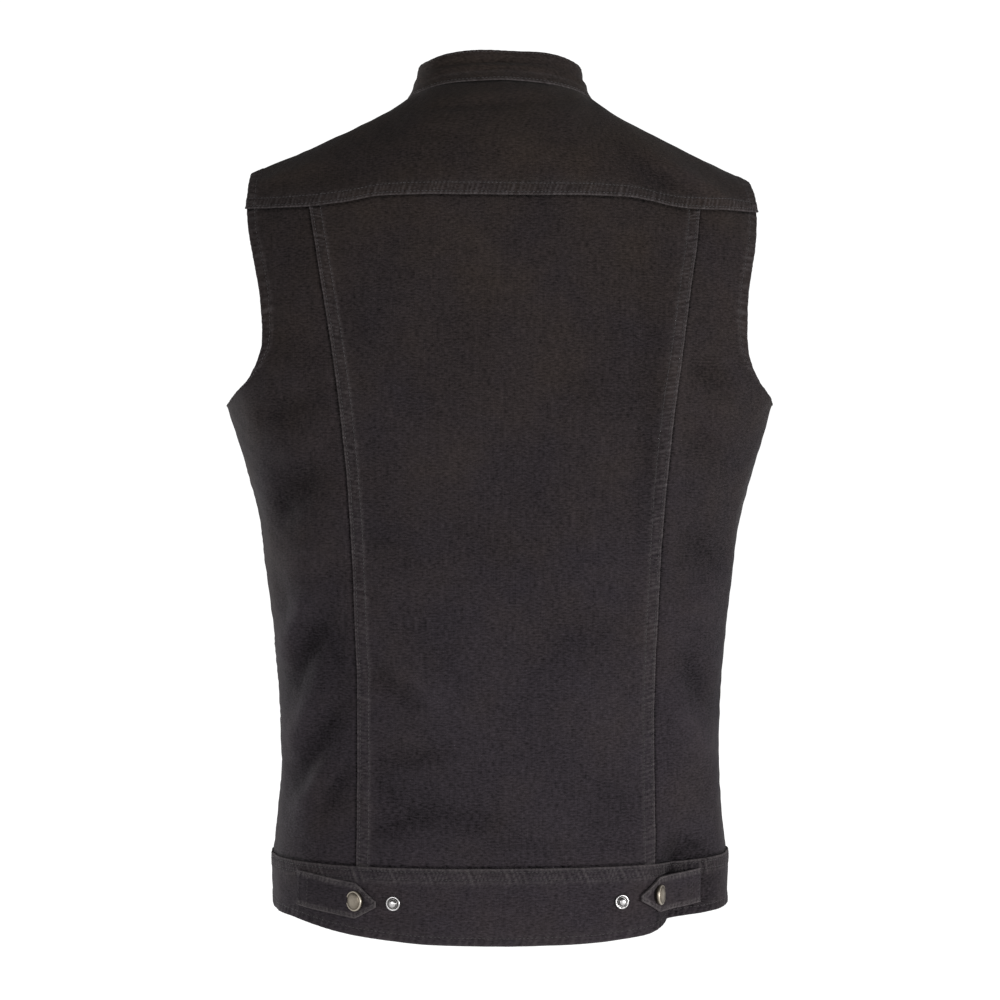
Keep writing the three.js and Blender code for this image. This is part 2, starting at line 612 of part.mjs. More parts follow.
// The collar rises from inside the neckline and leans in towards the neck.
function collar() {
  const endTurn = 180 - (COLLAR.endGap / NECK.wide) * (180 / Math.PI);
  const back = steps(YOKE_NECK_COLUMNS).map((part) => mix(-SEAM_TURN, SEAM_TURN, part));
  const left = frontTurns.slice(0, -1).filter((turn) => turn < endTurn - COLLAR_LAST_STEP).reverse();
  const turns = [-endTurn, ...left.map((turn) => -turn).reverse(), ...back, ...left, endTurn];
  const middle = new THREE.Vector3(0, (form(0, neckOver(0)).y + form(0, neckOver(180)).y) / 2, 0);
  const columns = turns.map((turn) => {
    const spot = neckSpot(turn);
    const base = form(spot.around, spot.over);
    const outward = outwardAt(form, spot);
    const before = neckSpot(turn - 1);
    const after = neckSpot(turn + 1);
    const along = form(after.around, after.over).sub(form(before.around, before.over)).normalize();
    const inSurface = outward.clone().cross(along).normalize();
    const inward = middle.clone().sub(base).setZ(0).normalize();
    if (inSurface.dot(inward) < 0) inSurface.negate();
    const lean = degrees(follow(COLLAR_LEAN, "turn", "lean", Math.abs(turn)));
    const rise = inward.multiplyScalar(Math.sin(lean)).add(new THREE.Vector3(0, 0, Math.cos(lean)));
    const across = rise.clone().cross(along).normalize();
    if (across.dot(outward) < 0) across.negate();
    const bend = Math.sqrt(Math.max(0, 1 - rise.dot(inSurface) ** 2));
    base.addScaledVector(inSurface, COLLAR.clear + (COLLAR.thick / 2) * bend);
    base.addScaledVector(outward, COLLAR.proud);
    return { base, rise, across };
  });
  const sheet = (offset) =>
    steps(COLLAR.rows).map((part) =>
      columns.map(({ base, rise, across }) =>
        base.clone().addScaledVector(rise, COLLAR.height * part).addScaledVector(across, offset),
      ),
    );
  return piece("collar", closedWall(sheet(COLLAR.thick / 2), sheet(-COLLAR.thick / 2)), DENIM);
}

// The form with the hip fold bridged, as a tab crosses it.
function bridged(tab) {
  return (around, over) => {
    const point = form(around, over);
    const root = tab.hand * tab.root;
    const part = smooth(HIP_FOLD.start, HIP_FOLD.valley, tab.hand * point.x);
    const drop = HIP_FOLD.deep * hipFold(root, tab.rootUp) * part;
    return point.addScaledVector(outwardAt(form, { around, over }), -drop);
  };
}

function tabPiece(tab) {
  const surface = bridged(tab);
  const grid = steps(TAB.columns).map((part) => {
    const x = mix(tab.root, tab.tip, part);
    const middle = mix(tab.rootUp, tab.tipUp, part);
    const half = mix(TAB.blunt, TAB.wide / 2, clamp((x - tab.tip) / TAB.point, 0, 1));
    return steps(TAB.rows).map((row) => spotAt(tab.hand * x, middle + half * (2 * row - 1)));
  });
  const inner = BAND.outer + LAYER_GAP;
  const faces = { inner, outer: inner + TAB.thick };
  return piece("tab_" + tab.side, clothWall(grid, faces, undefined, surface), DENIM);
}

const turned = (profile, sides) => {
  const points = profile.map(([radius, high]) => new THREE.Vector2(radius, high));
  return new THREE.LatheGeometry(points, sides).rotateX(QUARTER);
};

// A snap cap, flat underneath.
const capShape = () =>
  turned(
    [
      [0, 0],
      [SNAP.radius, 0],
      [SNAP.radius, SNAP.rim],
      [SNAP.shoulder, SNAP.shoulderHigh],
      [0, SNAP.high],
    ],
    SNAP.sides,
  );

// A snap stud, flat underneath.
const studShape = () =>
  turned(
    [
      [0, 0],
      [STUD.radius, 0],
      [STUD.radius, STUD.well],
      [STUD.foot, STUD.well],
      [STUD.post, STUD.postFoot],
      [STUD.tip, STUD.high],
      [0, STUD.high],
    ],
    STUD.sides,
  );

// Sets a fastener on a surface, its flat underside just clear of it.
function fastener(name, shape, look, surface, spot, above) {
  const made = piece(name, shape, look);
  const outward = outwardAt(surface, spot);
  made.position.copy(surface(spot.around, spot.over)).addScaledVector(outward, above);
  made.quaternion.setFromUnitVectors(new THREE.Vector3(0, 0, 1), outward);
  return made;
}

function frontSnaps() {
  const top = 2 * FRONT_LAP + LAYER_GAP;
  const made = steps(FRONT_SNAPS.count - 1).map((part, i) => {
    const spot = spotAt(0, mix(FRONT_SNAPS.lowest, FRONT_SNAPS.highest, part), 1);
    return fastener("front_snap_" + (i + 1), capShape(), BRASS, form, spot, top);
  });
  const onBand = BAND.outer + BAND_LAP + LAYER_GAP;
  made.push(fastener("band_snap", capShape(), BRASS, form, spotAt(0, BAND_SNAP_UP, 1), onBand));
  return made;
}

function tabSnaps(tab) {
  const x = tab.hand * (tab.tip + TAB_SNAP.cap);
  const up = mix(tab.tipUp, tab.rootUp, TAB_SNAP.cap / (tab.root - tab.tip));
  const above = BAND.outer + LAYER_GAP + TAB.thick + CAP_CLEAR;
  const studSpot = spotAt(tab.hand * TAB_SNAP.stud, TAB_SNAP.up);
  return [
    fastener("tab_cap_" + tab.side, capShape(), BRASS, bridged(tab), spotAt(x, up), above),
    fastener("stud_" + tab.side, studShape(), NICKEL, form, studSpot, BAND.outer + LAYER_GAP),
  ];
}

const vest = new THREE.Group();
const worn = new THREE.Group(); // built from the hem up, then lowered so that the origin is at the shoulders
worn.position.z = -SHOULDER_LINE;
worn.add(backCentre(), backSide("back_side_left", 1), backSide("back_side_right", -1), yoke());
worn.add(front("front_left", 1), front("front_right", -1), placket(), waistband(), collar());
worn.add(...frontSnaps());
for (const tab of TABS) worn.add(tabPiece(tab), ...tabSnaps(tab));
vest.add(worn);

export default vest;
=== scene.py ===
"""Looks of the denim vest: every sewn piece as a fine cloth shell over its CAD solid, with its turned and
lapped edges, topstitching, creases and snaps, in worn black denim on a pale stage."""

import math
from typing import NamedTuple

import bmesh
import bpy
import numpy as np
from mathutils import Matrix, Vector


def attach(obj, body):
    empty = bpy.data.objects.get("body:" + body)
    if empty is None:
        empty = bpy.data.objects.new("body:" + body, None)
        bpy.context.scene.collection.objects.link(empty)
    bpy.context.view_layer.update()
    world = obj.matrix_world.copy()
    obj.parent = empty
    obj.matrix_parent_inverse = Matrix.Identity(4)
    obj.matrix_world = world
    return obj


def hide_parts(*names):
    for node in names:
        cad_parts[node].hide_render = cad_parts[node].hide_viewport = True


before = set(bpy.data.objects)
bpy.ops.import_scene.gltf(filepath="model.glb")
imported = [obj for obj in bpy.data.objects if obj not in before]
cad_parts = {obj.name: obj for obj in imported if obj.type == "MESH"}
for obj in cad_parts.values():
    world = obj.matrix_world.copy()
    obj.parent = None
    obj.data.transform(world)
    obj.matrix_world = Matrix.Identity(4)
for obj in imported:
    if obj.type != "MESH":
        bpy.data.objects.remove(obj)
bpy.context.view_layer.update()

# The body form of the CAD part, in millimetres: X to the wearer's left, Y to the back, and "up" above the
# lowest point of the hem. The origin of the part is SHOULDER_LINE above the hem.
SHOULDER_LINE = 606
ARMPIT = 400
BAND_TOP = 56
SQUARENESS = 2.35
BEND_BACK, BEND_FRONT = 2.7, 1.8
SPREAD, SPREAD_RATE = 9, 5.5
CHEST_WIDE, CHEST_BACK, CHEST_FRONT = 211, 125, 130
# Rings of the body up to the armpits: height, half width, depth behind and depth in front.
BODY_RINGS = [
    (-10, 174, 117, 117), (25, 175.5, 117, 118), (56, 175.5, 116, 119), (90, 172, 112, 118),
    (137, 170, 108, 118), (200, 173, 110, 120), (265, 180, 115, 124), (312, 186.5, 120, 128),
    (359, 198.5, 124, 130), (400, 211, 125, 130),
]
RING_WIDE, RING_BACK, RING_FRONT = ([(row[0], row[i]) for row in BODY_RINGS] for i in (1, 2, 3))
SHOULDER = [(0, 661), (32, 656), (52, 649), (72, 637), (90, 625.5), (135, 604), (195, 577), (230, 561)]
LOW_SHOULDER = 0.018
CENTRE_ROUND = 10
PRINCESS_SEAM = [(56, 111), (180, 110.5), (254, 113), (328, 117), (402, 124), (476, 135), (550, 147)]
YOKE_SEAM = [(0, 553), (70, 553.5), (95, 553), (120, 549), (150, 547), (195, 548)]
YOKE_END = 548
ARMHOLE_BACK = [(211, 400), (208, 404), (196, 415), (188, 427), (183.5, 441), (182.5, 458), (184, 484),
                (188.5, 508), (193, 530), (194.5, 548)]
ARMHOLE_FRONT = [(211, 400), (206, 403), (192, 412), (181, 426), (175, 447), (174, 475), (177, 505),
                 (183, 538), (188, 562), (190, 576)]
SHOULDER_TIP = 191
SHOULDER_SEAM = 0.1
NECK_WIDE, NECK_BACK, NECK_FRONT = 71, 0.243, 0.486
SEAM_GAP = 0.3
LAYER_GAP = 0.7
CLOTH = 1.5
PLACKET_WIDE = 38
LAP_FROM, LAP_TO = 26, 84
FRONT_LAP = CLOTH + LAYER_GAP
BAND_INNER, BAND_OUTER = -1.6, 1.4
BAND_LAP = BAND_OUTER - BAND_INNER + LAYER_GAP
HEM_RISE = [(0, 0), (60, 1.2), (100, 4.6), (135, 9.5), (160, 14.5), (176, 17)]
FRONT_HEM_DROP, FRONT_HEM_LEVEL = 4, 150
NECK_ARMHOLE_SHARE = 0.36
COLLAR_HIGH, COLLAR_THICK, COLLAR_PROUD, COLLAR_CLEAR, COLLAR_END = 28, 2.6, 0.4, 0.7, 1.5
COLLAR_LEAN = [(0, 33), (90, 20), (180, 24)]

# A deep upright fold in the right back of the waistband: from "start" the cloth rolls in to the valley, then
# comes back out to "end". It is full up to "level" and gone "fade" above that.
HIP_START, HIP_VALLEY, HIP_END, HIP_ROLL, HIP_DEEP = 100, 128, 174, 1.8, 15
HIP_LEVEL, HIP_FADE, HIP_HEM_RISE = 46, 38, 4

# Soft folds: a line from (x0, up0) to (x1, up1), its half width, and how far it stands out or in.
BACK_FOLDS = [
    (184, 386, 136, 409, 10, -2.6), (172, 355, 138, 378, 10, 1.6), (178, 312, 136, 350, 13, -3),
    (170, 280, 126, 292, 12, 2), (170, 208, 148, 258, 8, 3), (164, 178, 136, 240, 9, -4),
    (124, 190, 127, 240, 8, -2), (164, 138, 146, 178, 8, 3), (162, 104, 120, 180, 9, -4),
    (156, 92, 136, 126, 8, 2.4), (139, 96, 116, 130, 8, -2.6), (106, 312, 70, 274, 14, -2),
    (106, 206, 68, 178, 9, -3), (84, 202, 44, 174, 9, 2), (96, 136, 48, 142, 8, -2.4),
    (102, 126, 80, 102, 8, -2), (100, 84, 56, 98, 9, -3), (56, 98, 4, 90, 9, -2.4),
    (-108, 480, -104, 312, 12, -2.4), (-128, 470, -118, 330, 9, 1.6), (-136, 430, -166, 414, 11, -3),
    (-130, 300, -168, 280, 13, -2.4), (-134, 214, -162, 168, 10, -3), (-126, 180, -158, 130, 9, 2.4),
]
# Finer creases that only the looks have: at the shoulders, below the collar and above the waistband.
BACK_CREASES = [
    (-69, 604, -144, 540, 13, -1.8), (190, 567, 128, 582, 5, 1.6), (-118, 581, -186, 547, 5, 1.6),
    (-96, 596, -150, 566, 6, 0.9), (84, 603, 20, 594, 6, -0.9), (62, 586, 8, 583, 6, -0.7),
    (-20, 598, -70, 590, 7, -0.7), (46, 628, -40, 638, 4, 1.1), (62, 620, -60, 629, 4, -1.1),
    (150, 572, 112, 566, 7, -0.8), (176, 452, 138, 430, 13, -1.6),
    (176, 430, 146, 404, 8, 1.2), (182, 368, 142, 330, 14, -1.4), (-140, 380, -172, 352, 11, -1.4),
    (-136, 250, -166, 236, 9, 1.2), (-60, 120, -104, 96, 8, -1.2), (20, 78, -40, 72, 5, -0.9),
    (-52, 76, -96, 70, 5, -0.8), (-131, 22, -134, 74, 2.6, -2.2), (60, 74, 24, 70, 4, -0.8),
    (40, 300, -30, 286, 16, -0.9),
    (-40, 420, -96, 400, 18, -0.9), (70, 470, 10, 456, 18, -0.8), (-20, 220, -90, 232, 15, -0.9),
]
FRONT_FOLDS = [
    (180, 384, 132, 404, 12, -2.6), (170, 296, 120, 330, 13, -2.4), (164, 176, 118, 226, 11, -3),
    (150, 100, 96, 140, 11, -2.6), (-176, 392, -130, 398, 12, -2.4), (-172, 268, -116, 308, 13, -2.8),
    (-160, 150, -104, 196, 11, -2.6), (-146, 90, -90, 112, 11, -2.2),
]

# Tabs on the back of the waistband: side (1 left), root, its height, tip and its height.
TABS = {"left": (1, 153, 38, 96, 30), "right": (-1, 151, 37, 98, 33)}
TAB_WIDE, TAB_POINT, TAB_THICK, TAB_BLUNT = 26, 15, 2.4, 2
TAB_CAP_IN, TAB_STUD, TAB_STUD_UP = 15, 84, 31
FRONT_SNAPS, LOWEST_SNAP, HIGHEST_SNAP, BAND_SNAP_UP = 6, 98, 560, 35
CAP_CLEAR = 0.84
TAB_CAP_LEAN = 20

# The folds fade out within FOLD_FADE of the side and shoulder lines and each way from the band's top, and the
# finer creases within CREASE_FADE of the shoulder line.
FOLD_FADE, CREASE_FADE = 30, 20
# The slight unrest of washed denim: how far it stands, the length of its waves, and its seed.
UNREST = [(0.42, 46, 3), (0.2, 17, 5)]
# How deep a fold is where its painted shade is darkest, how deep a painted shadow line along a seam counts,
# and the range of depth from the darkest painted shade to the brightest painted light.
DARKEST_FOLD_SHADE, SHADOW_LINE_DEPTH, SHADE_RANGE = 4, 6, 12

QUARTER = math.pi / 2


def smooth(low, high, value):
    part = np.clip((value - low) / (high - low), 0, 1)
    return part * part * (3 - 2 * part)


def mix(a, b, part):
    return a + (b - a) * part


def follow(rows, at):
    """A smooth curve through a table's rows, the second column by the first."""
    by, out = np.array(rows, float).T
    slopes = np.empty_like(out)
    slopes[1:-1] = (out[2:] - out[:-2]) / (by[2:] - by[:-2])
    slopes[0] = (out[1] - out[0]) / (by[1] - by[0])
    slopes[-1] = (out[-1] - out[-2]) / (by[-1] - by[-2])
    at = np.clip(at, by[0], by[-1])
    i = np.clip(np.searchsorted(by, at) - 1, 0, len(by) - 2)
    span, rise = by[i + 1] - by[i], out[i + 1] - out[i]
    t = (at - by[i]) / span
    bend = (slopes[i] * span - rise) * (1 - t) - (slopes[i + 1] * span - rise) * t
    return mix(out[i], out[i + 1], t) + t * (1 - t) * bend


def hump(away, wide):
    """A soft ridge: 1 in its middle, fading over a half width."""
    return np.exp(-((away / wide) ** 2))


def signed_power(base, exponent):
    return np.sign(base) * np.abs(base) ** exponent


def share(t):
    return signed_power(np.sin(t * QUARTER), 2 / SQUARENESS)


def share_back(part):
    return np.arcsin(np.clip(signed_power(part, SQUARENESS / 2), -1, 1)) / QUARTER


def rise_at(height, bend):
    return np.sin(np.clip(height, 0, 1) * QUARTER) ** (2 / bend)


def width_above(rise):
    return CHEST_WIDE + SPREAD * (1 - np.exp(-rise * SPREAD_RATE))


def shoulder_at(x):
    """The top of the shoulders, rounded over the centre line."""
    return follow(SHOULDER, np.hypot(x, CENTRE_ROUND)) - LOW_SHOULDER * np.maximum(0, -x)


def form(around, over):
    """Points of the body form. "around" is 0 at the centre back, 1 and -1 at the left and right side seams,
    2 and -2 at the centre front; "over" is -1 at the hem, 0 at the armpits, 1 on top of the shoulders."""
    around, over = np.broadcast_arrays(np.asarray(around, float), np.asarray(over, float))
    in_front = np.abs(around) > 1
    t = np.where(in_front, np.where(around < 0, -1, 1) * (2 - np.abs(around)), around)
    behind = in_front == (over > 1)
    height = np.where(over > 1, 2 - over, over)
    depth = np.maximum(0, np.cos(t * QUARTER)) ** (2 / SQUARENESS)
    below = height <= 0
    low_up = ARMPIT * (1 + height)
    bend = np.where(behind, BEND_BACK, BEND_FRONT)
    rise = rise_at(height, bend)
    reach = np.maximum(0, np.cos(np.clip(height, 0, 1) * QUARTER)) ** (2 / bend)
    x = np.where(below, follow(RING_WIDE, low_up), width_above(rise)) * share(t)
    up = np.where(below, low_up, ARMPIT + rise * (shoulder_at(x) - ARMPIT))
    low_deep = np.where(behind, follow(RING_BACK, low_up), follow(RING_FRONT, low_up))
    high_deep = np.where(behind, CHEST_BACK, CHEST_FRONT) * reach
    y = np.where(behind, 1, -1) * depth * np.where(below, low_deep, high_deep)
    return np.stack([x, y, up], -1)


def spot_at(x, up, hand=0):
    """The spot at distance x and height up: hand 1 for the left front, -1 for the right, 0 for the back."""
    x, up = np.broadcast_arrays(np.asarray(x, float), np.asarray(up, float))
    rise = np.clip((up - ARMPIT) / (shoulder_at(x) - ARMPIT), 0, 1)
    above = np.arcsin(rise ** ((BEND_FRONT if hand else BEND_BACK) / 2)) / QUARTER
    over = np.where(up > ARMPIT, above, up / ARMPIT - 1)
    wide = np.where(up > ARMPIT, width_above(rise), follow(RING_WIDE, up))
    t = share_back(x / wide)
    return (hand * 2 - t if hand else t), over


def spot_over(x, over, hand=0):
    """The spot at distance x and a given share of the bend over the shoulder."""
    x, over = np.broadcast_arrays(np.asarray(x, float), np.asarray(over, float))
    bend = np.where(over > 1, BEND_FRONT, BEND_FRONT if hand else BEND_BACK)
    t = share_back(x / width_above(rise_at(np.where(over > 1, 2 - over, over), bend)))
    return (hand * 2 - t if hand else t), over


def unit(vectors):
    return vectors / np.maximum(1e-12, np.linalg.norm(vectors, axis=-1, keepdims=True))


def outward(surface, around, over):
    """The outward direction of a surface at each spot."""
    nudge = 1e-4
    here = surface(around, over)
    backwards = np.where(np.abs(around) >= 1, -1, 1)
    turn = -nudge * np.where(around < 0, -backwards, backwards)
    down = np.where(over > 1, nudge, -nudge)
    a = (surface(around + turn, over) - here) * np.sign(turn)[..., None]
    b = (surface(around, over + down) - here) * np.sign(down)[..., None]
    return unit(np.cross(b, a))


def fold_sum(folds, x, up):
    total = np.zeros(np.shape(x))
    for x0, up0, x1, up1, wide, out in folds:
        long = math.hypot(x1 - x0, up1 - up0)
        part = ((x - x0) * (x1 - x0) + (up - up0) * (up1 - up0)) / long**2
        away = ((x - x0) * (up1 - up0) - (up - up0) * (x1 - x0)) / long
        ends = smooth(-0.25, 0.3, part) * (1 - smooth(0.7, 1.25, part))
        total += out * ends * hump(away, wide)
    return total


def hip_fold(x, up):
    rolled_in = np.clip((-x - HIP_START) / (HIP_VALLEY - HIP_START), 0, 1) ** HIP_ROLL
    returned = smooth(HIP_VALLEY, HIP_END, -x)
    return rolled_in * (1 - returned) * (1 - smooth(HIP_LEVEL, HIP_LEVEL + HIP_FADE, up))


def folds_at(point):
    """How far the folds of the CAD part move the cloth."""
    x, y, up = point[..., 0], point[..., 1], point[..., 2]
    total = np.where(y > 0, fold_sum(BACK_FOLDS, x, up), fold_sum(FRONT_FOLDS, x, up))
    hip = np.where(y > 0, HIP_DEEP * hip_fold(x, up), 0)
    fade = smooth(BAND_TOP - FOLD_FADE, BAND_TOP + FOLD_FADE, up)
    return total * np.minimum(1, np.abs(y) / FOLD_FADE) * fade - hip


def rumple(point, size, seed):
    """An even unrest of the cloth between about -1 and 1, in waves of about the given length."""
    rng = np.random.default_rng(seed)
    total = 0
    for _ in range(10):
        direction = unit(rng.normal(size=3))
        wave = point @ direction / (size * rng.uniform(0.7, 1.6))
        total = total + np.sin(math.tau * (wave + rng.uniform()))
    return total / 3.2


def fine_lay(point):
    """How far the finer creases and the unrest move the cloth."""
    creases = fold_sum(BACK_CREASES, point[..., 0], point[..., 2]) * smooth(0, CREASE_FADE, point[..., 1])
    return sum((by * rumple(point, long, seed) for by, long, seed in UNREST), creases)


def fold_shade_lay(point):
    """How far the cloth stands off the form, for its painted shade in folds and painted light on ridges;
    folds count no deeper than the depth at which that painted shade is darkest.
    """
    return np.maximum(folds_at(point), -DARKEST_FOLD_SHADE) + fine_lay(point)


def cloth(around, over):
    """The form with its folds, its creases and its unrest."""
    point = form(around, over)
    return point + outward(form, around, over) * (folds_at(point) + fine_lay(point))[..., None]


class Edge(NamedTuple):
    """How an edge is finished, in millimetres: a strip of more layers and how far it stands out, how far it
    hangs over its neighbour, its stitch rows, how high it puckers, how far it dips to a seam, how far it runs
    on under its neighbour, the length of a pucker, how worn its ridges are, and how far from the edge a
    painted shadow line lies along its neighbour's rim."""

    strip: float = 9
    proud: float = 0
    over: float = 0
    rows: tuple = ()
    pucker: float = 0
    dip: float = 0
    tuck: float = 0
    pitch: float = 5.2
    rub: float = 1
    shadow_line_at: float = 0


LAPPED = Edge(strip=9.2, proud=0.55, over=0.7, rows=(2.0, 8.5), pucker=0.32, pitch=3.5, rub=1.1)
SHOULDER_LAPPED = LAPPED._replace(over=1, dip=0.7, tuck=0.1)
UNDER = Edge(pucker=0.16, dip=0.55)
TUCKED = Edge(pucker=0.16, dip=0.5, tuck=3, shadow_line_at=1.9)
SEAM_TUCKED = Edge(pucker=0.16, dip=0.55, tuck=2.6, shadow_line_at=1.9)
NECK_TUCKED = Edge(dip=0.3, tuck=2.2, shadow_line_at=2.9)
TURNED = Edge(strip=10.2, proud=0.5, rows=(8.5,), pucker=0.34, pitch=6.1)
PLAIN_SEAM = Edge(pucker=0.22, dip=0.5, pitch=7.3)
PLAIN_TUCKED = Edge(pucker=0.22, dip=0.8, tuck=2.6, pitch=7.3)
IN_BAND = Edge(pucker=0.1, dip=0.1, tuck=3.4, shadow_line_at=2.3)
BAND_LAPPED = Edge(strip=9.2, proud=0.3, over=1.1, rows=(2.0, 7.2), pucker=0.4, pitch=3.7, rub=1.4)
HEM = Edge(strip=7.4, proud=0.3, rows=(6.0,), pucker=0.3, pitch=5.8, rub=0.6)
NARROW = Edge(strip=3, proud=0.12, rows=(2.0,), pucker=0.12, pitch=4.6)
LOOSE = Edge(strip=3)
TAB_EDGE = Edge(strip=3, proud=0.2, rows=(2.0,), pucker=0.26, pitch=3.6, rub=2.8)
COLLAR_SEAM = Edge(strip=6.4, proud=0.2, rows=(2.0,), pucker=0.08, pitch=4.4, rub=1.5)
COLLAR_TOP = Edge(strip=6, proud=0.2, pucker=0.2, pitch=7, rub=0.4)

# What all edges share: the groove of a stitch row, how far a dip and a tuck reach in, the rounding of a rim,
# a painted shadow line's half width for its distance, and how worn the rim, the strip's step and the puckers
# get.
GROOVE_DEEP, GROOVE_WIDE = 0.24, 0.75
DIP_REACH, HANG_REACH, RIM_RADIUS, SHADOW_LINE_WIDE = 5, 3, 0.62, 0.25
RIM_WORN, STEP_WORN, PUCKER_WORN, FULL_PUCKER = 0.8, 0.22, 0.45, 0.3
# The dent that a fastener presses in: its depth and half width, then the height, place and width of its rim.
DENT_DEEP, DENT_WIDE, DENT_RIM, DENT_RIM_AT, DENT_RIM_WIDE = 0.5, 9, 0.12, 11, 2.5

# Distances from an edge at which the cloth is divided: close where it is turned or stitched.
NEAR = (0, 0.25, 0.6, 1.1, 1.6, 2.0, 2.4, 3.2, 4.6, 6.0, 6.7, 7.2, 7.9, 8.5, 9.0, 9.5, 10.2, 11.4, 13)
NEAR_NARROW = (0, 0.25, 0.6, 1.1, 1.6, 2.0, 2.4, 3.2)
TABLE = 129


def run(points, axis):
    """The length along a grid's lines, from their first points."""
    lengths = np.linalg.norm(np.diff(points, axis=axis), axis=-1)
    start = np.zeros_like(np.take(lengths, [0], axis=axis))
    return np.concatenate([start, np.cumsum(lengths, axis=axis)], axis=axis)


def stations(total, near, between):
    near = np.array(near) * min(1, 0.45 * total / near[-1])
    middle = np.linspace(near[-1], total - near[-1], between + 2)[1:-1]
    return np.concatenate([near, middle, total - near[::-1]])


def pick(table, at, which):
    at = np.clip(at, 0, 1) * (TABLE - 1)
    low = np.minimum(at.astype(int), TABLE - 2)
    return mix(table[low, which], table[low + 1, which], at - low)


def lay(recipe, step, near=(NEAR, NEAR)):
    """Spots of a fine grid over a piece. recipe(u, v) gives a spot, u across and v up, each from 0 to 1. The
    grid's outer lines lie at the distances "near" from the edges, and the others "step" apart."""
    ticks = np.linspace(0, 1, TABLE)
    points = form(*recipe(*np.meshgrid(ticks, ticks)))

    def lines(lengths, gap, edge):
        between = round(max(0, np.median(lengths[:, -1]) - 2 * edge[-1]) / gap)
        return np.array([np.interp(stations(line[-1], edge, between), line, ticks) for line in lengths])

    columns = lines(run(points, 1), step[0], near[0])
    rows = lines(run(points, 0).T, step[1], near[1])
    column, row = np.arange(columns.shape[1])[None, :], np.arange(rows.shape[1])[:, None]
    v = np.broadcast_to(rows[TABLE // 2][:, None], (row.size, column.size))
    for _ in range(4):
        u = pick(columns, v, column)
        v = pick(rows, u, row)
    return recipe(u, v)


def ripple(along, pitch):
    """Uneven waves along a stitched seam."""
    drift = 1.9 * np.sin(along / (pitch * 1.7)) + 1.3 * np.sin(along / (pitch * 0.61) + 1)
    size = 0.74 + 0.26 * np.sin(along / (pitch * 1.13) + 2.1 * np.sin(along / 61))
    return size * np.sin(math.tau * along / pitch + drift)


def finish_of(edge, away, along):
    """(how far an edge's finish moves the outer face, how worn it is) by the distance from the edge."""
    strip = edge.proud * (1 - smooth(edge.strip - 0.4, edge.strip + 0.7, away))
    sunk = sum(GROOVE_DEEP * hump(away - row, GROOVE_WIDE) for row in edge.rows)
    zone = hump(away - 0.5 * edge.strip, 0.62 * edge.strip)
    waves = ripple(along + 0.25 * away, edge.pitch)
    dip = edge.dip * (1 - smooth(0, DIP_REACH, away))
    worn = 0
    if edge.proud:
        worn = RIM_WORN * hump(away - 0.4, 0.8) + STEP_WORN * hump(away - edge.strip, 0.9)
        worn = worn * (0.65 + 0.35 * waves)
        worn += PUCKER_WORN * zone * np.maximum(0, waves) * edge.pucker / FULL_PUCKER
    return strip - sunk + edge.pucker * zone * waves - dip, worn * edge.rub


class Shell(NamedTuple):
    """A cloth piece's object and the grid it was made from, which its stitches follow."""

    piece: bpy.types.Object
    outer: np.ndarray
    normals: np.ndarray


def grid_faces(rows, columns):
    """Quads of a closed wall: the outer sheet, the inner sheet, and the four rims."""
    index = np.arange(2 * rows * columns).reshape(2, rows, columns)
    out, into = index

    def quads(a, b, c, d):
        return np.stack([x.ravel() for x in (a, b, c, d)], 1)

    outer = quads(out[:-1, :-1], out[:-1, 1:], out[1:, 1:], out[1:, :-1])
    inner = quads(into[:-1, :-1], into[1:, :-1], into[1:, 1:], into[:-1, 1:])
    rims = [
        quads(out[0, :-1], into[0, :-1], into[0, 1:], out[0, 1:]),
        quads(out[-1, 1:], into[-1, 1:], into[-1, :-1], out[-1, :-1]),
        quads(out[1:, 0], into[1:, 0], into[:-1, 0], out[:-1, 0]),
        quads(out[:-1, -1], into[:-1, -1], into[1:, -1], out[1:, -1]),
    ]
    return outer, inner, np.concatenate(rims)


def put(name, data):
    """An object of the given data, in the scene."""
    made = bpy.data.objects.new(name, data)
    bpy.context.scene.collection.objects.link(made)
    return made


def make_piece(name, points, faces, materials, uv=None, worn=None, painted_shade=None, inner_faces=()):
    """A smooth mesh object from points in millimetres above the hem."""
    mesh = bpy.data.meshes.new(name)
    lowered = (points - [0, 0, SHOULDER_LINE]) / 1000
    mesh.from_pydata(lowered.tolist(), [], [list(face) for face in faces])
    corners = np.empty(len(mesh.loops), int)
    mesh.loops.foreach_get("vertex_index", corners)
    if uv is not None:
        layer = mesh.uv_layers.new(name="cloth")
        layer.data.foreach_set("uv", (uv[corners] / 1000).astype(np.float32).ravel())
    if worn is not None:
        colour = mesh.color_attributes.new(name="worn", type="FLOAT_COLOR", domain="POINT")
        rgba = np.repeat(np.clip(worn, 0, 1)[:, None], 4, 1)
        rgba[:, 3] = 1
        # The green channel holds painted shade in folds and along seams, and painted light on ridges.
        if painted_shade is not None:
            rgba[:, 1] = np.clip(painted_shade, 0, 1)
        colour.data.foreach_set("color", rgba.astype(np.float32).ravel())
    for material in materials:
        mesh.materials.append(material)
    slots = np.zeros(len(mesh.polygons), int)
    slots[list(inner_faces)] = 1
    mesh.polygons.foreach_set("material_index", slots)
    mesh.shade_smooth()
    return put(name, mesh)


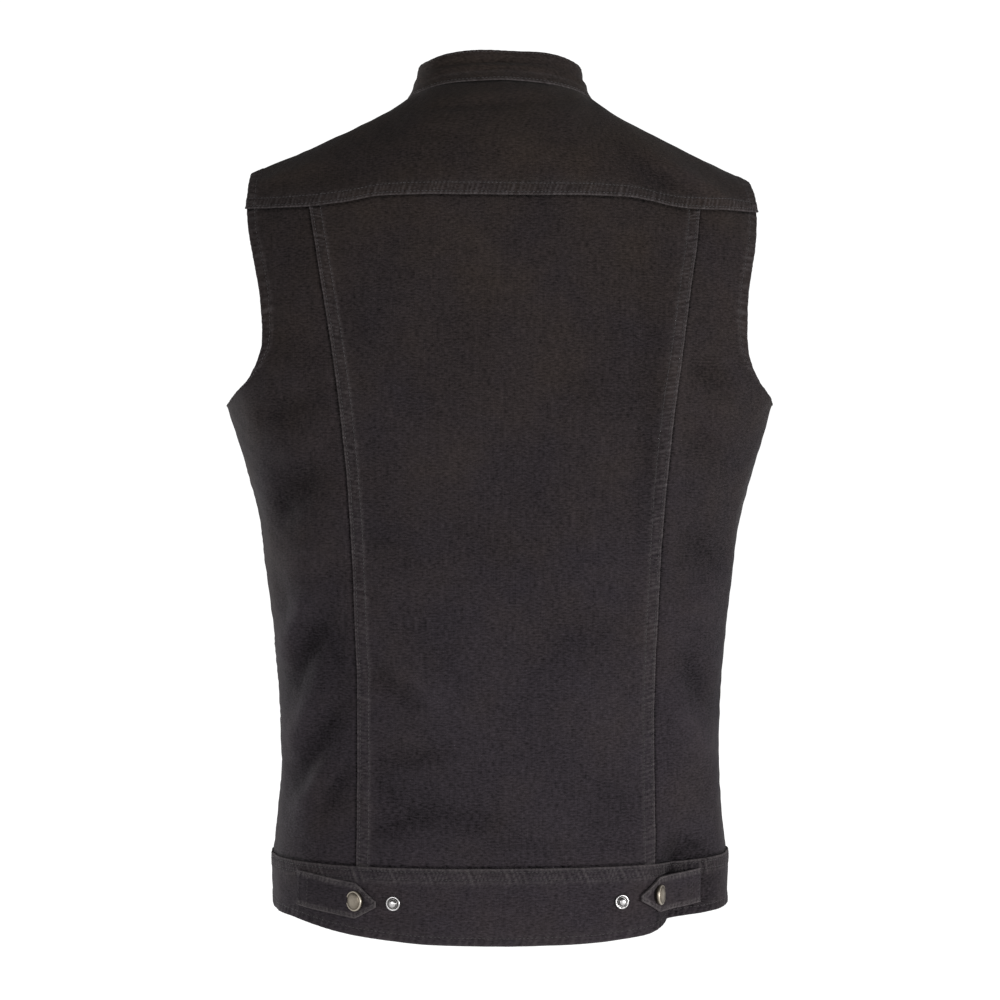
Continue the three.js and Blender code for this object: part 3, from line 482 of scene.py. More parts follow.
def wall(name, outer, inner, out, worn, lie, lying=False):
    """A closed cloth wall between two sheets of points, with its cloth's grain in its UV map: level and
    upright, or along the slope of a lying piece. Its colour has painted shade in its folds and painted light
    on its ridges, by how far it stands off the form."""
    rows, columns = outer.shape[:2]
    towards = np.sign(np.sum(outer[:, -1, 0] - outer[:, 0, 0]))
    across = outer[:, :1, 0] + towards * run(outer[..., :2], 1)
    along = outer[:1, :, 2] + run(outer[..., 1:], 0) if lying else outer[..., 2]
    outer_faces, inner_faces, rims = grid_faces(rows, columns)
    faces = np.concatenate([outer_faces, rims, inner_faces])
    a, b, d = (outer.reshape(-1, 3)[outer_faces[:, i]] for i in (0, 1, 3))
    facing = np.sum(np.cross(b - a, d - a) * out.reshape(-1, 3)[outer_faces[:, 0]])
    if facing < 0:
        faces = faces[:, ::-1]
    uv = np.stack([across, along], -1).reshape(-1, 2)
    inside = range(len(outer_faces) + len(rims), len(faces))
    points = np.concatenate([outer.reshape(-1, 3), inner.reshape(-1, 3)])
    worn = np.concatenate([worn.ravel(), 0.3 * worn.ravel()])
    # A half is cloth on the form: less is painted shade in folds, more is painted light on ridges.
    painted_shade = np.tile(0.5 + lie.ravel() / SHADE_RANGE, 2)
    return make_piece(name, points, faces, [DENIM, DENIM_INSIDE], np.tile(uv, (2, 1)), worn, painted_shade, inside)


def edged(mid, out, edges):
    """(relief, wear, painted shadow line, how the outer and the inner face run on, rounding) of a grid's
    faces.
    edges gives left, right, low and high a finish each, or a list of (finish, share of it along the edge)."""
    left, low = run(mid, 1), run(mid, 0)
    away = {"left": left, "right": left[:, -1:] - left, "low": low, "high": low[-1:] - low}
    pull = {
        "left": unit(mid[:, :1] - mid[:, 2:3]),
        "right": unit(mid[:, -1:] - mid[:, -3:-2]),
        "low": unit(mid[:1] - mid[2:3]),
        "high": unit(mid[-1:] - mid[-3:-2]),
    }
    relief, worn, painted_shadow = (np.zeros(left.shape) for _ in range(3))
    hang, tuck = np.zeros(mid.shape), np.zeros(mid.shape)
    for side, finishes in edges.items():
        along = low if side in ("left", "right") else left
        for edge, part in [(finishes, 1)] if isinstance(finishes, Edge) else finishes:
            moved, rubbed = finish_of(edge, away[side], along)
            relief += part * moved
            worn = np.maximum(worn, part * rubbed)
            # A painted shadow line beside the neighbour's rim that laps over this edge.
            if edge.shadow_line_at:
                line = hump(away[side] - edge.shadow_line_at, SHADOW_LINE_WIDE * edge.shadow_line_at)
                painted_shadow = np.maximum(painted_shadow, part * line)
            near = (part * (1 - smooth(0, HANG_REACH, away[side])))[..., None]
            hang += pull[side] * (edge.over + edge.tuck) * near
            tuck += pull[side] * edge.tuck * near - out * edge.dip * near * (edge.tuck > 0)
    nearest = np.minimum.reduce(list(away.values()))
    rounding = RIM_RADIUS - np.sqrt(np.maximum(0, RIM_RADIUS**2 - np.maximum(0, RIM_RADIUS - nearest) ** 2))
    return relief, worn, painted_shadow, hang, tuck, rounding


def shell(name, spots, faces, edges, lift=0, surface=cloth, dents=(), lying=False):
    """A cloth piece over a grid of spots. faces are its inner and outer face, and lift raises it. dents are
    points of the surface that a fastener presses in."""
    mid = surface(*spots)
    out = outward(surface, *spots)
    relief, worn, painted_shadow, hang, tuck, rounding = edged(mid, out, edges)
    for dent in dents:
        gap = np.linalg.norm(mid - dent, axis=-1)
        relief -= DENT_DEEP * hump(gap, DENT_WIDE) - DENT_RIM * hump(gap - DENT_RIM_AT, DENT_RIM_WIDE)
    inner, outer = faces
    outer_sheet = mid + out * (outer + lift + relief - rounding)[..., None] + hang
    inner_sheet = mid + out * (inner + lift + rounding)[..., None] + tuck
    # How far the cloth stands off the form, for its painted shade, less a painted shadow line along tucked
    # seams.
    lie = fold_shade_lay(form(*spots)) if surface is cloth else 0
    made = wall(name, outer_sheet, inner_sheet, out, worn, lie - SHADOW_LINE_DEPTH * painted_shadow, lying)
    return Shell(made, outer_sheet, out)


# Stitches: their pitch, half length, half width, flatness, depth of their ends and random tilt. A ring of
# points of one is at a share of its half length, with a share of its width, at a height.
STITCH_PITCH, STITCH_HALF, THREAD, THREAD_FLAT, STITCH_END, STITCH_TILT = 3.0, 1.1, 0.3, 0.8, -0.22, 0.11
RINGS = [(-0.82, 0.75, 0.02), (0, 1, 0.16), (0.82, 0.75, 0.02)]
RING_SIDES = 4


def stitch_shape():
    """(points along, across and out of the cloth; faces) of one stitch."""
    turns = np.arange(RING_SIDES) * math.tau / RING_SIDES
    points = [(-STITCH_HALF, 0, STITCH_END)]
    for along, part, high in RINGS:
        wide, thick = THREAD * part, THREAD_FLAT * THREAD * part
        points += [(along * STITCH_HALF, wide * math.cos(t), high + thick * math.sin(t)) for t in turns]
    points.append((STITCH_HALF, 0, STITCH_END))
    last = len(points) - 1
    faces = []
    for i in range(RING_SIDES):
        j = (i + 1) % RING_SIDES
        faces.append((0, 1 + j, 1 + i, 1 + i))
        for ring in range(len(RINGS) - 1):
            a = 1 + ring * RING_SIDES
            faces.append((a + i, a + j, a + RING_SIDES + j, a + RING_SIDES + i))
        a = 1 + (len(RINGS) - 1) * RING_SIDES
        faces.append((a + i, a + j, last, last))
    return np.array(points), np.array(faces)


def stitches_along(line, normals, start=0, end=None):
    """(centre, direction, normal) of each stitch along a line of points, between two lengths of it."""
    length = run(line, 0)
    end = length[-1] if end is None else end
    centres = np.arange(start + STITCH_PITCH / 2, end - STITCH_PITCH / 2, STITCH_PITCH)

    def at(where, values):
        return np.stack([np.interp(where, length, values[:, i]) for i in range(3)], 1)

    ahead = unit(at(centres + STITCH_HALF, line) - at(centres - STITCH_HALF, line))
    return at(centres, line), ahead, unit(at(centres, normals))


def sew(name, rows):
    """One piece that holds all the stitches of the given rows."""
    centre, ahead, normal = (np.concatenate([row[i] for row in rows]) for i in range(3))
    aside = unit(np.cross(ahead, normal))
    shape, faces = stitch_shape()
    rng = np.random.default_rng(len(centre))
    tilt = rng.normal(0, STITCH_TILT, (len(centre), 1))
    ahead, aside = unit(ahead + tilt * aside), unit(aside - tilt * ahead)
    points = (
        centre[:, None]
        + ahead[:, None] * shape[None, :, :1]
        + aside[:, None] * shape[None, :, 1:2]
        + normal[:, None] * shape[None, :, 2:]
    )
    offsets = np.arange(len(centre))[:, None, None] * len(shape)
    quads = (faces[None] + offsets).reshape(-1, 4)
    listed = [quad[:3] if quad[2] == quad[3] else quad for quad in quads.tolist()]
    made = make_piece(name, points.reshape(-1, 3), listed, [THREAD_LOOK])
    return made


def side_rows(made, sides, rows, start=0, end=None, near=NEAR):
    """Stitch rows of a shell at set distances from some of its sides."""
    found = []
    for side in sides:
        for i in (near.index(row) for row in rows):
            line = i if side in ("left", "low") else -1 - i
            cut = np.s_[:, line] if side in ("left", "right") else line
            found.append(stitches_along(made.outer[cut], made.normals[cut], start, end))
    return found


def set_inputs(node, inputs):
    for name, value in inputs.items():
        if isinstance(value, bpy.types.NodeSocket):
            node.id_data.links.new(value, node.inputs[name])
        else:
            node.inputs[name].default_value = value


def add_node(tree, kind, inputs=None, **settings):
    made = tree.nodes.new("ShaderNode" + kind)
    for name, value in settings.items():
        setattr(made, name, value)
    set_inputs(made, inputs or {})
    return made


def new_material(name, **shader):
    """(material, its node tree, its principled shader)"""
    material = bpy.data.materials.new(name)
    material.use_nodes = True
    tree = material.node_tree
    principled = tree.nodes["Principled BSDF"]
    set_inputs(principled, {key.replace("_", " "): value for key, value in shader.items()})
    return material, tree, principled


def math_node(tree, operation, *values):
    return add_node(tree, "Math", dict(enumerate(values)), operation=operation).outputs[0]


def noise(tree, vector, scale, detail=2, roughness=0.5):
    return add_node(
        tree, "TexNoise", {"Vector": vector, "Scale": scale, "Detail": detail, "Roughness": roughness}
    ).outputs["Fac"]


def stretched(tree, vector, size):
    return add_node(tree, "VectorMath", {0: vector, 1: size}, operation="MULTIPLY").outputs[0]


def ranged(tree, value, low, high, start, end):
    """A value that goes from start to end while the given one goes from low to high."""
    inputs = {"Value": value, "From Min": low, "From Max": high, "To Min": start, "To Max": end}
    return add_node(tree, "MapRange", inputs).outputs["Result"]


def place_in(tree):
    return add_node(tree, "TexCoord").outputs["Object"]


def height_in(tree):
    return add_node(tree, "SeparateXYZ", {0: place_in(tree)}).outputs["Z"]


def weighted(tree, base, *terms):
    """base plus weight times (value less a half), for each (value, weight)."""
    total = base
    for value, weight in terms:
        centred = math_node(tree, "SUBTRACT", value, 0.5)
        total = math_node(tree, "ADD", math_node(tree, "MULTIPLY", centred, weight), total)
    return total


def denim(name, shade, worn, weave=1.0):
    """Washed black twill: diagonal ribs, uneven yarns, cloudy colour that turns from brown at the shoulders
    to violet at the hem, brighter towards the hem, lighter where the cloth is rubbed, and with painted shade
    in its folds and seam lines and painted light on its ridges."""
    material, tree, principled = new_material(
        name, Roughness=0.95, Specular_IOR_Level=0.05, Sheen_Weight=0.02, Sheen_Roughness=0.5
    )
    uv = add_node(tree, "UVMap", uv_map="cloth").outputs[0]
    place = stretched(tree, uv, (1000, 1000, 0))
    rib = add_node(
        tree,
        "TexWave",
        {"Vector": place, "Scale": 0.56, "Distortion": 1.4, "Detail": 2.0, "Detail Scale": 0.7},
        bands_direction="DIAGONAL",
    ).outputs["Fac"]
    warp = noise(tree, stretched(tree, place, (1.1, 0.05, 1)), 1.0, 3, 0.6)
    weft = noise(tree, stretched(tree, place, (0.32, 0.82, 1)), 1.0, 1, 0.5)
    grain = noise(tree, place, 0.6, 2, 0.6)
    mottle = noise(tree, place, 0.14, 3, 0.6)
    cloud = noise(tree, place, 0.016, 3, 0.55)
    # The worn attribute: red is wear, green is painted shade in folds and along seams and painted light on
    # ridges.
    rubbed = add_node(
        tree, "SeparateColor", {0: add_node(tree, "VertexColor", layer_name="worn").outputs["Color"]}
    ).outputs
    yarns = [(rib, 0.1), (warp, 0.7), (weft, 1.8), (grain, 0.5)]
    tone = weighted(tree, 1.0, *yarns, (mottle, 0.6), (cloud, 0.45), (rubbed[1], 1.15))
    height = height_in(tree)
    fall = ranged(tree, height, -0.42, 0.02, 0.05, 0.85)
    hue = blended(tree, weighted(tree, fall, (cloud, 1.3)), VIOLET_BLACK, BROWN_BLACK)
    # The colour is brighter towards the hem.
    brighter_to_hem = ranged(tree, height, -0.6, -0.2, 1.3 * shade, shade)
    dyed = scaled(tree, hue, math_node(tree, "MULTIPLY", tone, brighter_to_hem))
    amount = math_node(tree, "MULTIPLY", rubbed[0], weighted(tree, 0.75, (mottle, 1.6), (grain, 1.4)))
    set_inputs(principled, {"Base Color": blended(tree, amount, dyed, worn)})
    relief = weighted(tree, 0.5, (rib, 0.5 * weave), (grain, 0.8 * weave), (warp, 0.5), (weft, 0.8))
    bump = add_node(tree, "Bump", {"Height": relief, "Strength": 0.8, "Distance": 0.0002})
    set_inputs(principled, {"Normal": bump.outputs[0]})
    return material


def blended(tree, amount, a, b):
    """The colour a turning into b. Each is three numbers or a socket."""
    made = add_node(tree, "Mix", {"Factor": amount}, data_type="RGBA", clamp_factor=True)
    ends = [socket for socket in made.inputs if socket.type == "RGBA"]
    for socket, colour in zip(ends, (a, b)):
        if isinstance(colour, tuple):
            socket.default_value = colour + (1,)
        else:
            tree.links.new(colour, socket)
    return next(socket for socket in made.outputs if socket.type == "RGBA")


def scaled(tree, colour, amount):
    return add_node(tree, "VectorMath", {0: colour, "Scale": amount}, operation="SCALE").outputs[0]


def thread_look():
    material, tree, principled = new_material("thread", Roughness=0.75, Specular_IOR_Level=0.3)
    place = place_in(tree)
    tone = weighted(tree, 1.0, (noise(tree, place, 900, 2), 0.9), (noise(tree, place, 60, 2), 0.7))
    twist = noise(tree, place, 4000, 1)
    bump = add_node(tree, "Bump", {"Height": twist, "Strength": 0.5, "Distance": 0.0001})
    set_inputs(principled, {"Base Color": scaled(tree, THREAD_BLACK, tone), "Normal": bump.outputs[0]})
    return material


def metal_look(name, dull, bright, roughness):
    """Metal that is darker where it tarnishes and brighter where it is rubbed."""
    material, tree, principled = new_material(name, Metallic=1.0)
    spots = noise(tree, place_in(tree), 900, 4, 0.65)
    rubbed = add_node(tree, "VertexColor", layer_name="worn").outputs["Color"]
    amount = weighted(tree, rubbed, (spots, 0.5))
    rough = weighted(tree, roughness, (spots, 0.2))
    bump = add_node(tree, "Bump", {"Height": spots, "Strength": 0.35, "Distance": 0.00006})
    colour = blended(tree, amount, dull, bright)
    set_inputs(principled, {"Base Color": colour, "Roughness": rough, "Normal": bump.outputs[0]})
    return material


VIOLET_BLACK = (0.0152, 0.0127, 0.0150)
BROWN_BLACK = (0.0172, 0.0130, 0.0111)
THREAD_BLACK = (0.034, 0.031, 0.032)
DENIM = denim("black_denim", 1.0, (0.062, 0.055, 0.056))
DENIM_INSIDE = denim("black_denim_inside", 2.0, (0.08, 0.073, 0.073), 1.3)
THREAD_LOOK = thread_look()
BRASS = metal_look("antique_brass", (0.08, 0.065, 0.048), (0.4, 0.36, 0.3), 0.4)
NICKEL = metal_look("brushed_nickel", (0.1, 0.097, 0.095), (0.44, 0.43, 0.43), 0.28)


def princess_at(up):
    return follow(PRINCESS_SEAM, up)


def yoke_seam_at(x):
    return follow(YOKE_SEAM, np.abs(x))


def side_gap_at(up):
    """Half of the side seam's gap, as a share of the way round."""
    return 2 / math.pi * (SEAM_GAP / 2 / follow(RING_BACK, up)) ** (SQUARENESS / 2)


def armhole(rows, hand, in_front):
    """A function from a share of the armhole's length, from the side seam up, to a spot."""
    x, up = np.array(rows, float).T
    around, over = spot_at(hand * x, up, hand if in_front else 0)
    length = run(form(around, over), 0)

    def at(part):
        where = np.clip(part, 0, 1) * length[-1]
        table = [list(zip(length, column)) for column in (around, over)]
        return follow(table[0], where), follow(table[1], where)

    return at


def between(a, b, part):
    return mix(a[0], b[0], part), mix(a[1], b[1], part)


def choose(test, a, b):
    return np.where(test, a[0], b[0]), np.where(test, a[1], b[1])


# Shares of a panel's height: up to the armpits, and up to the start of a front's neckline. Above LEVEL_FROM
# of the rest a back side levels out to the yoke, and above TIP_FROM of its armhole a front meets its tip.
LOWER, FRONT_NECK = 0.7, 0.83
LEVEL_FROM, TIP_FROM = 0.4, 0.9


def panel_up(v, top):
    """(height at v, share of the way from the armpits to the top)"""
    above = np.clip((v - LOWER) / (1 - LOWER), 0, 1)
    low = mix(BAND_TOP + SEAM_GAP, ARMPIT, np.clip(v / LOWER, 0, 1))
    return np.where(v < LOWER, low, mix(ARMPIT, top, above)), above


def back_centre_at(u, v):
    across = 2 * u - 1
    top = yoke_seam_at(princess_at(YOKE_END) * across) - SEAM_GAP / 2
    up, _ = panel_up(v, top)
    return spot_at(across * (princess_at(up) - SEAM_GAP / 2), up)


def back_side_at(hand):
    edge_at = armhole(ARMHOLE_BACK, hand, False)
    top = yoke_seam_at(princess_at(YOKE_END)) - SEAM_GAP / 2
    corner = spot_at(hand * (princess_at(top) + SEAM_GAP / 2), top)

    def at(u, v):
        up, above = panel_up(v, top)
        seam = spot_at(hand * (princess_at(up) + SEAM_GAP / 2), up)
        side = (hand * (1 - side_gap_at(up)), seam[1])
        outer = choose(v < LOWER, side, edge_at(above))
        spot = between(seam, outer, u)
        last = form(*between(corner, edge_at(1), u))
        short = yoke_seam_at(last[..., 0]) - SEAM_GAP / 2 - last[..., 2]
        point = form(*spot)
        moved = spot_at(point[..., 0], point[..., 2] + short * smooth(LEVEL_FROM, 1, above))
        return choose(above > LEVEL_FROM, moved, spot)

    return at


def neck_over(turn):
    """The neckline's share of the bend, by the turn from the centre back in degrees."""
    fall = np.cos(np.radians(turn))
    return np.where(fall > 0, 1 - NECK_BACK * fall, 1 - NECK_FRONT * fall)


def neck_spot(turn, hand=0):
    """A spot of the neckline by the turn from the centre back: hand 1 or -1 gives it as one of a front."""
    x, over = NECK_WIDE * np.sin(np.radians(turn)), neck_over(turn)
    return spot_over(hand * x, 2 - over, hand) if hand else spot_over(x, over)


SEAM_TURN = 180 - math.degrees(math.acos(SHOULDER_SEAM / NECK_FRONT))
LAP_TURN = 180 + math.degrees(math.asin(PLACKET_WIDE / 2 / NECK_WIDE))
SEAM_SHARE = 0.0015
YOKE_NECK_PART, YOKE_SPREAD = 0.5, 1.15


def yoke_at(u, v):
    reach = ARMHOLE_BACK[-1][0]
    seam_over = 1 + SHOULDER_SEAM - SEAM_SHARE
    neck_edge = NECK_WIDE * math.sin(math.radians(SEAM_TURN))
    inner_reach = reach * YOKE_NECK_PART * YOKE_SPREAD
    across = 2 * u - 1
    hand = np.sign(across)
    part = np.clip((np.abs(across) - YOKE_NECK_PART) / (1 - YOKE_NECK_PART), 0, 1)
    turn = SEAM_TURN * np.clip(across / YOKE_NECK_PART, -1, 1)
    neck = neck_spot(turn)
    neck = neck[0], np.minimum(neck[1], seam_over)
    shoulder = spot_over(hand * mix(neck_edge, SHOULDER_TIP, part), np.full(np.shape(u), seam_over))
    in_neck = np.abs(across) < YOKE_NECK_PART
    top = choose(in_neck, neck, shoulder)
    x = np.where(in_neck, inner_reach * across / YOKE_NECK_PART, hand * mix(inner_reach, reach, part))
    return between(spot_at(x, yoke_seam_at(x) + SEAM_GAP / 2), top, v)


def neck_start(hand):
    """The height at which a front's neckline starts."""
    return float(form(*neck_spot(LAP_TURN, hand))[2])


def front_at(hand):
    edge_at = armhole(ARMHOLE_FRONT, hand, True)
    lap_edge = -hand * PLACKET_WIDE / 2
    neck_up = neck_start(hand)
    seam_over = 1 - SHOULDER_SEAM - SEAM_SHARE

    def at(u, v):
        chest = np.clip((v - LOWER) / (FRONT_NECK - LOWER), 0, 1)
        neck = np.clip((v - FRONT_NECK) / (1 - FRONT_NECK), 0, 1)
        low = mix(BAND_TOP + SEAM_GAP, ARMPIT, np.clip(v / LOWER, 0, 1))
        up = np.where(v < LOWER, low, mix(ARMPIT, neck_up, chest))
        turn = mix(LAP_TURN, SEAM_TURN, neck)
        neckline = neck_spot(turn, hand)
        neckline = neckline[0], np.minimum(neckline[1], seam_over)
        centre = choose(v < FRONT_NECK, spot_at(lap_edge, up, hand), neckline)
        side = hand * (1 + side_gap_at(up)), up / ARMPIT - 1
        along = np.where(v < FRONT_NECK, NECK_ARMHOLE_SHARE * chest, mix(NECK_ARMHOLE_SHARE, 1, neck))
        arm = edge_at(along)
        tip = spot_over(hand * SHOULDER_TIP, np.full(np.shape(v), seam_over), hand)
        arm = between(arm, tip, smooth(TIP_FROM, 1, along))
        return between(centre, choose(v < LOWER, side, arm), u)

    return at


def placket_at(u, v):
    x = mix(-PLACKET_WIDE / 2, PLACKET_WIDE / 2, u)
    turn = 180 - np.degrees(np.arcsin(x / NECK_WIDE))
    top = form(*neck_spot(turn, 1))[..., 2]
    up, _ = panel_up(v, top)
    return spot_at(x, up, 1)


def left_lap(amount, point):
    """The left front rises over the right towards the centre."""
    return np.where(point[..., 1] < 0, amount * (1 - smooth(LAP_FROM, LAP_TO, point[..., 0])), 0)


def hem_at(point):
    x, y = point[..., 0], point[..., 1]
    behind = follow(HEM_RISE, np.abs(x)) + HIP_HEM_RISE * hip_fold(x, 0)
    in_front = HEM_RISE[-1][1] - FRONT_HEM_DROP * (1 - smooth(0, FRONT_HEM_LEVEL, np.abs(x)))
    return np.where(y > 0, behind, in_front)


def waistband_at(u, v):
    start = spot_at(PLACKET_WIDE / 2, BAND_TOP, -1)[0]
    around = mix(start, -start, u)
    hem = hem_at(form(around, np.full(np.shape(u), BAND_TOP / ARMPIT - 1)))
    return around, mix(hem, BAND_TOP, v) / ARMPIT - 1


def tab_at(tab):
    hand, root, root_up, tip, tip_up = tab

    def at(u, v):
        x = mix(root, tip, u)
        half = mix(TAB_BLUNT, TAB_WIDE / 2, np.clip((x - tip) / TAB_POINT, 0, 1))
        return spot_at(hand * x, mix(root_up, tip_up, u) + half * (2 * v - 1))

    return at


def bridged(tab):
    """The form with the hip fold bridged, as a tab crosses it."""
    hand, root, root_up = tab[:3]

    def surface(around, over):
        point = form(around, over)
        part = smooth(HIP_START, HIP_VALLEY, hand * point[..., 0])
        drop = HIP_DEEP * hip_fold(hand * root, root_up) * part
        bow = 0.35 * rumple(point, 40, 9)
        return point + outward(form, around, over) * (bow - drop)[..., None]

    return surface


def above_armpit(spots):
    return smooth(-0.006, 0.006, spots[1])


def sewn(made, node, rows=()):
    """Hides a CAD node and puts the cloth piece that stands for it under the root body, with the stitches of
    the given rows on it.
    """
    on_it = []
    if rows:
        on_it = [sew("stitches_" + node, rows)]
        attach(on_it[0], "root")
    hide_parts(node)
    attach(made.piece, "root")


PANEL = (-CLOTH, 0)
YOKE_FACES = (-0.6, 0.9)
FINE_ROW, ROW = 1.35, 1.8
# Columns of a tab's grid that carry the stitches across its root.
TAB_BARS = (6, 13)


def armhole_rows(made, high):
    """The stitch rows on a panel's outer side, above the armpit."""
    armpit = run(made.outer[:, -1], 0)[np.argmax(high[:, -1] > 0.5)]
    return side_rows(made, ["right"], TURNED.rows, start=armpit)


def make_back():
    spots = lay(back_centre_at, (3.6, FINE_ROW))
    edges = {"left": LAPPED, "right": LAPPED, "low": IN_BAND, "high": TUCKED}
    made = shell("back_centre_cloth", spots, PANEL, edges)
    rows = side_rows(made, ["left", "right"], LAPPED.rows)
    sewn(made, "back_centre", rows)
    for side, hand in (("left", 1), ("right", -1)):
        spots = lay(back_side_at(hand), (3.2, ROW))
        high = above_armpit(spots)
        edges = {
            "left": SEAM_TUCKED,
            "right": [(PLAIN_TUCKED, 1 - high), (TURNED, high)],
            "low": IN_BAND,
            "high": TUCKED,
        }
        made = shell(f"back_side_{side}_cloth", spots, PANEL, edges)
        sewn(made, f"back_side_{side}", armhole_rows(made, high))


def make_yoke():
    spots = lay(yoke_at, (FINE_ROW, 2.8))
    at_neck = 1 - smooth(NECK_WIDE - 4, NECK_WIDE + 2, np.abs(form(*spots)[..., 0]))
    edges = {"left": TURNED, "right": TURNED, "low": LAPPED}
    edges["high"] = [(SHOULDER_LAPPED, 1 - at_neck), (NECK_TUCKED, at_neck)]
    made = shell("yoke_cloth", spots, YOKE_FACES, edges, lying=True)
    rows = side_rows(made, ["left", "right"], TURNED.rows) + side_rows(made, ["low"], LAPPED.rows)
    top = made.outer[-1]
    on_neck = np.flatnonzero(np.abs(top[:, 0]) < NECK_WIDE)
    corners = run(top, 0)[on_neck[[0, -1]]]
    rows += side_rows(made, ["high"], LAPPED.rows, end=corners[0])
    rows += side_rows(made, ["high"], LAPPED.rows, start=corners[1])
    sewn(made, "yoke", rows)


def snap_points(heights):
    return [cloth(*spot_at(0, up, 1)) for up in heights]


def snap_heights():
    return np.linspace(LOWEST_SNAP, HIGHEST_SNAP, FRONT_SNAPS)


def make_fronts():
    for side, hand in (("left", 1), ("right", -1)):
        spots = lay(front_at(hand), (3.8, 3.2))
        high = above_armpit(spots)
        neck = smooth(neck_start(hand) - 2, neck_start(hand) + 2, form(*spots)[..., 2])
        edges = {
            "left": [(UNDER, 1 - neck), (NECK_TUCKED, neck)],
            "right": [(PLAIN_SEAM, 1 - high), (TURNED, high)],
            "low": IN_BAND,
            "high": TUCKED,
        }
        lift = left_lap(FRONT_LAP, form(*spots)) if hand > 0 else 0
        made = shell(f"front_{side}_cloth", spots, PANEL, edges, lift)
        sewn(made, f"front_{side}", armhole_rows(made, high))
    spots = lay(placket_at, (2.2, 2.2), (NEAR_NARROW, NEAR_NARROW))
    strip = Edge(strip=5, proud=0.15, rows=(2.0,), pucker=0.25)
    edges = {"left": strip, "right": strip, "low": IN_BAND, "high": NECK_TUCKED}
    dents = snap_points(snap_heights())
    made = shell("placket_cloth", spots, PANEL, edges, left_lap(2 * FRONT_LAP, form(*spots)), dents=dents)
    rows = side_rows(made, ["left", "right"], strip.rows, near=NEAR_NARROW)
    sewn(made, "placket", rows)


def make_waistband():
    spots = lay(waistband_at, (FINE_ROW, 2.8))
    edges = {"left": NARROW, "right": NARROW, "low": HEM, "high": BAND_LAPPED}
    point = form(*spots)
    lift = np.where(spots[0] > 0, left_lap(BAND_LAP, point), 0)
    dents = snap_points([BAND_SNAP_UP])
    made = shell("waistband_cloth", spots, (BAND_INNER, BAND_OUTER), edges, lift, dents=dents)
    rows = side_rows(made, ["high"], BAND_LAPPED.rows) + side_rows(made, ["low"], HEM.rows)
    rows += side_rows(made, ["left", "right"], NARROW.rows)
    sewn(made, "waistband", rows)


def make_tabs():
    for side, tab in TABS.items():
        spots = lay(tab_at(tab), (1.4, 1.4), (NEAR_NARROW, NEAR_NARROW))
        edges = {"right": TAB_EDGE, "low": TAB_EDGE, "high": TAB_EDGE, "left": LOOSE}
        faces = (BAND_OUTER + LAYER_GAP, BAND_OUTER + LAYER_GAP + TAB_THICK)
        surface = bridged(tab)
        dents = [surface(*spot_at(*tab_cap_place(tab)))]
        made = shell(f"tab_{side}_cloth", spots, faces, edges, surface=surface, dents=dents)
        rows = side_rows(made, ["low", "high", "right"], TAB_EDGE.rows, near=NEAR_NARROW)
        for column in TAB_BARS:
            rows.append(stitches_along(made.outer[:, column], made.normals[:, column]))
        sewn(made, f"tab_{side}", rows)


# Creases round the collar: height above its seam, half width, and how far they stand out or in.
COLLAR_CREASES = [(12, 2.6, 1.1), (17.5, 2.4, -1.6)]


def make_collar():
    end_turn = 180 - math.degrees(COLLAR_END / NECK_WIDE)
    length = 2.05 * end_turn
    turn = np.linspace(-end_turn, end_turn, round(length * 0.78))
    turn[0], turn[-1] = -end_turn, end_turn
    spot = neck_spot(turn)
    base = form(*spot)
    out = outward(form, *spot)
    along = unit(form(*neck_spot(turn + 1)) - form(*neck_spot(turn - 1)))
    middle = (form(*neck_spot(0)) + form(*neck_spot(180))) / 2
    inward = unit((middle - base) * [1, 1, 0])
    in_surface = np.cross(out, along)
    in_surface *= np.sign(np.sum(in_surface * inward, -1, keepdims=True))
    in_surface = unit(in_surface)
    lean = np.radians(follow(COLLAR_LEAN, np.abs(turn)))[:, None]
    rise = inward * np.sin(lean) + np.array([0, 0, 1]) * np.cos(lean)
    across = unit(np.cross(rise, along))
    across *= np.sign(np.sum(across * out, -1, keepdims=True))
    bend = np.sqrt(np.maximum(0, 1 - np.sum(rise * in_surface, -1, keepdims=True) ** 2))
    base = base + in_surface * (COLLAR_CLEAR + COLLAR_THICK / 2 * bend) + out * COLLAR_PROUD
    up = stations(COLLAR_HIGH, NEAR_NARROW, 11)
    mid = base[None] + rise[None] * up[:, None, None]
    normals = np.broadcast_to(across[None], mid.shape)
    edges = {"left": NARROW, "right": NARROW, "low": COLLAR_SEAM, "high": COLLAR_TOP}
    relief, worn, _, _, _, rounding = edged(mid, normals, edges)
    slack = (0.6 + 0.4 * np.sin(np.radians(turn) * 3 + 1))[None, :]
    crease = sum(by * hump(up - at, wide) for at, wide, by in COLLAR_CREASES)
    wave = 0.5 * rumple(mid, 38, 12) + slack * crease[:, None]
    flare = (1 - smooth(0, 5, up))[:, None, None]
    lap = -flare * (out[None] * 0.3 + in_surface[None] * 3)
    outer = mid + normals * (COLLAR_THICK / 2 + relief - rounding + wave)[..., None] + lap
    inner = mid + normals * (-COLLAR_THICK / 2 + rounding + wave)[..., None]
    # The collar's creases and unrest set its painted shade and painted light.
    made = Shell(wall("collar_cloth", outer, inner, normals, worn, wave), outer, normals)
    rows = side_rows(made, ["low", "high"], COLLAR_SEAM.rows, near=NEAR_NARROW)
    sewn(made, "collar", rows)


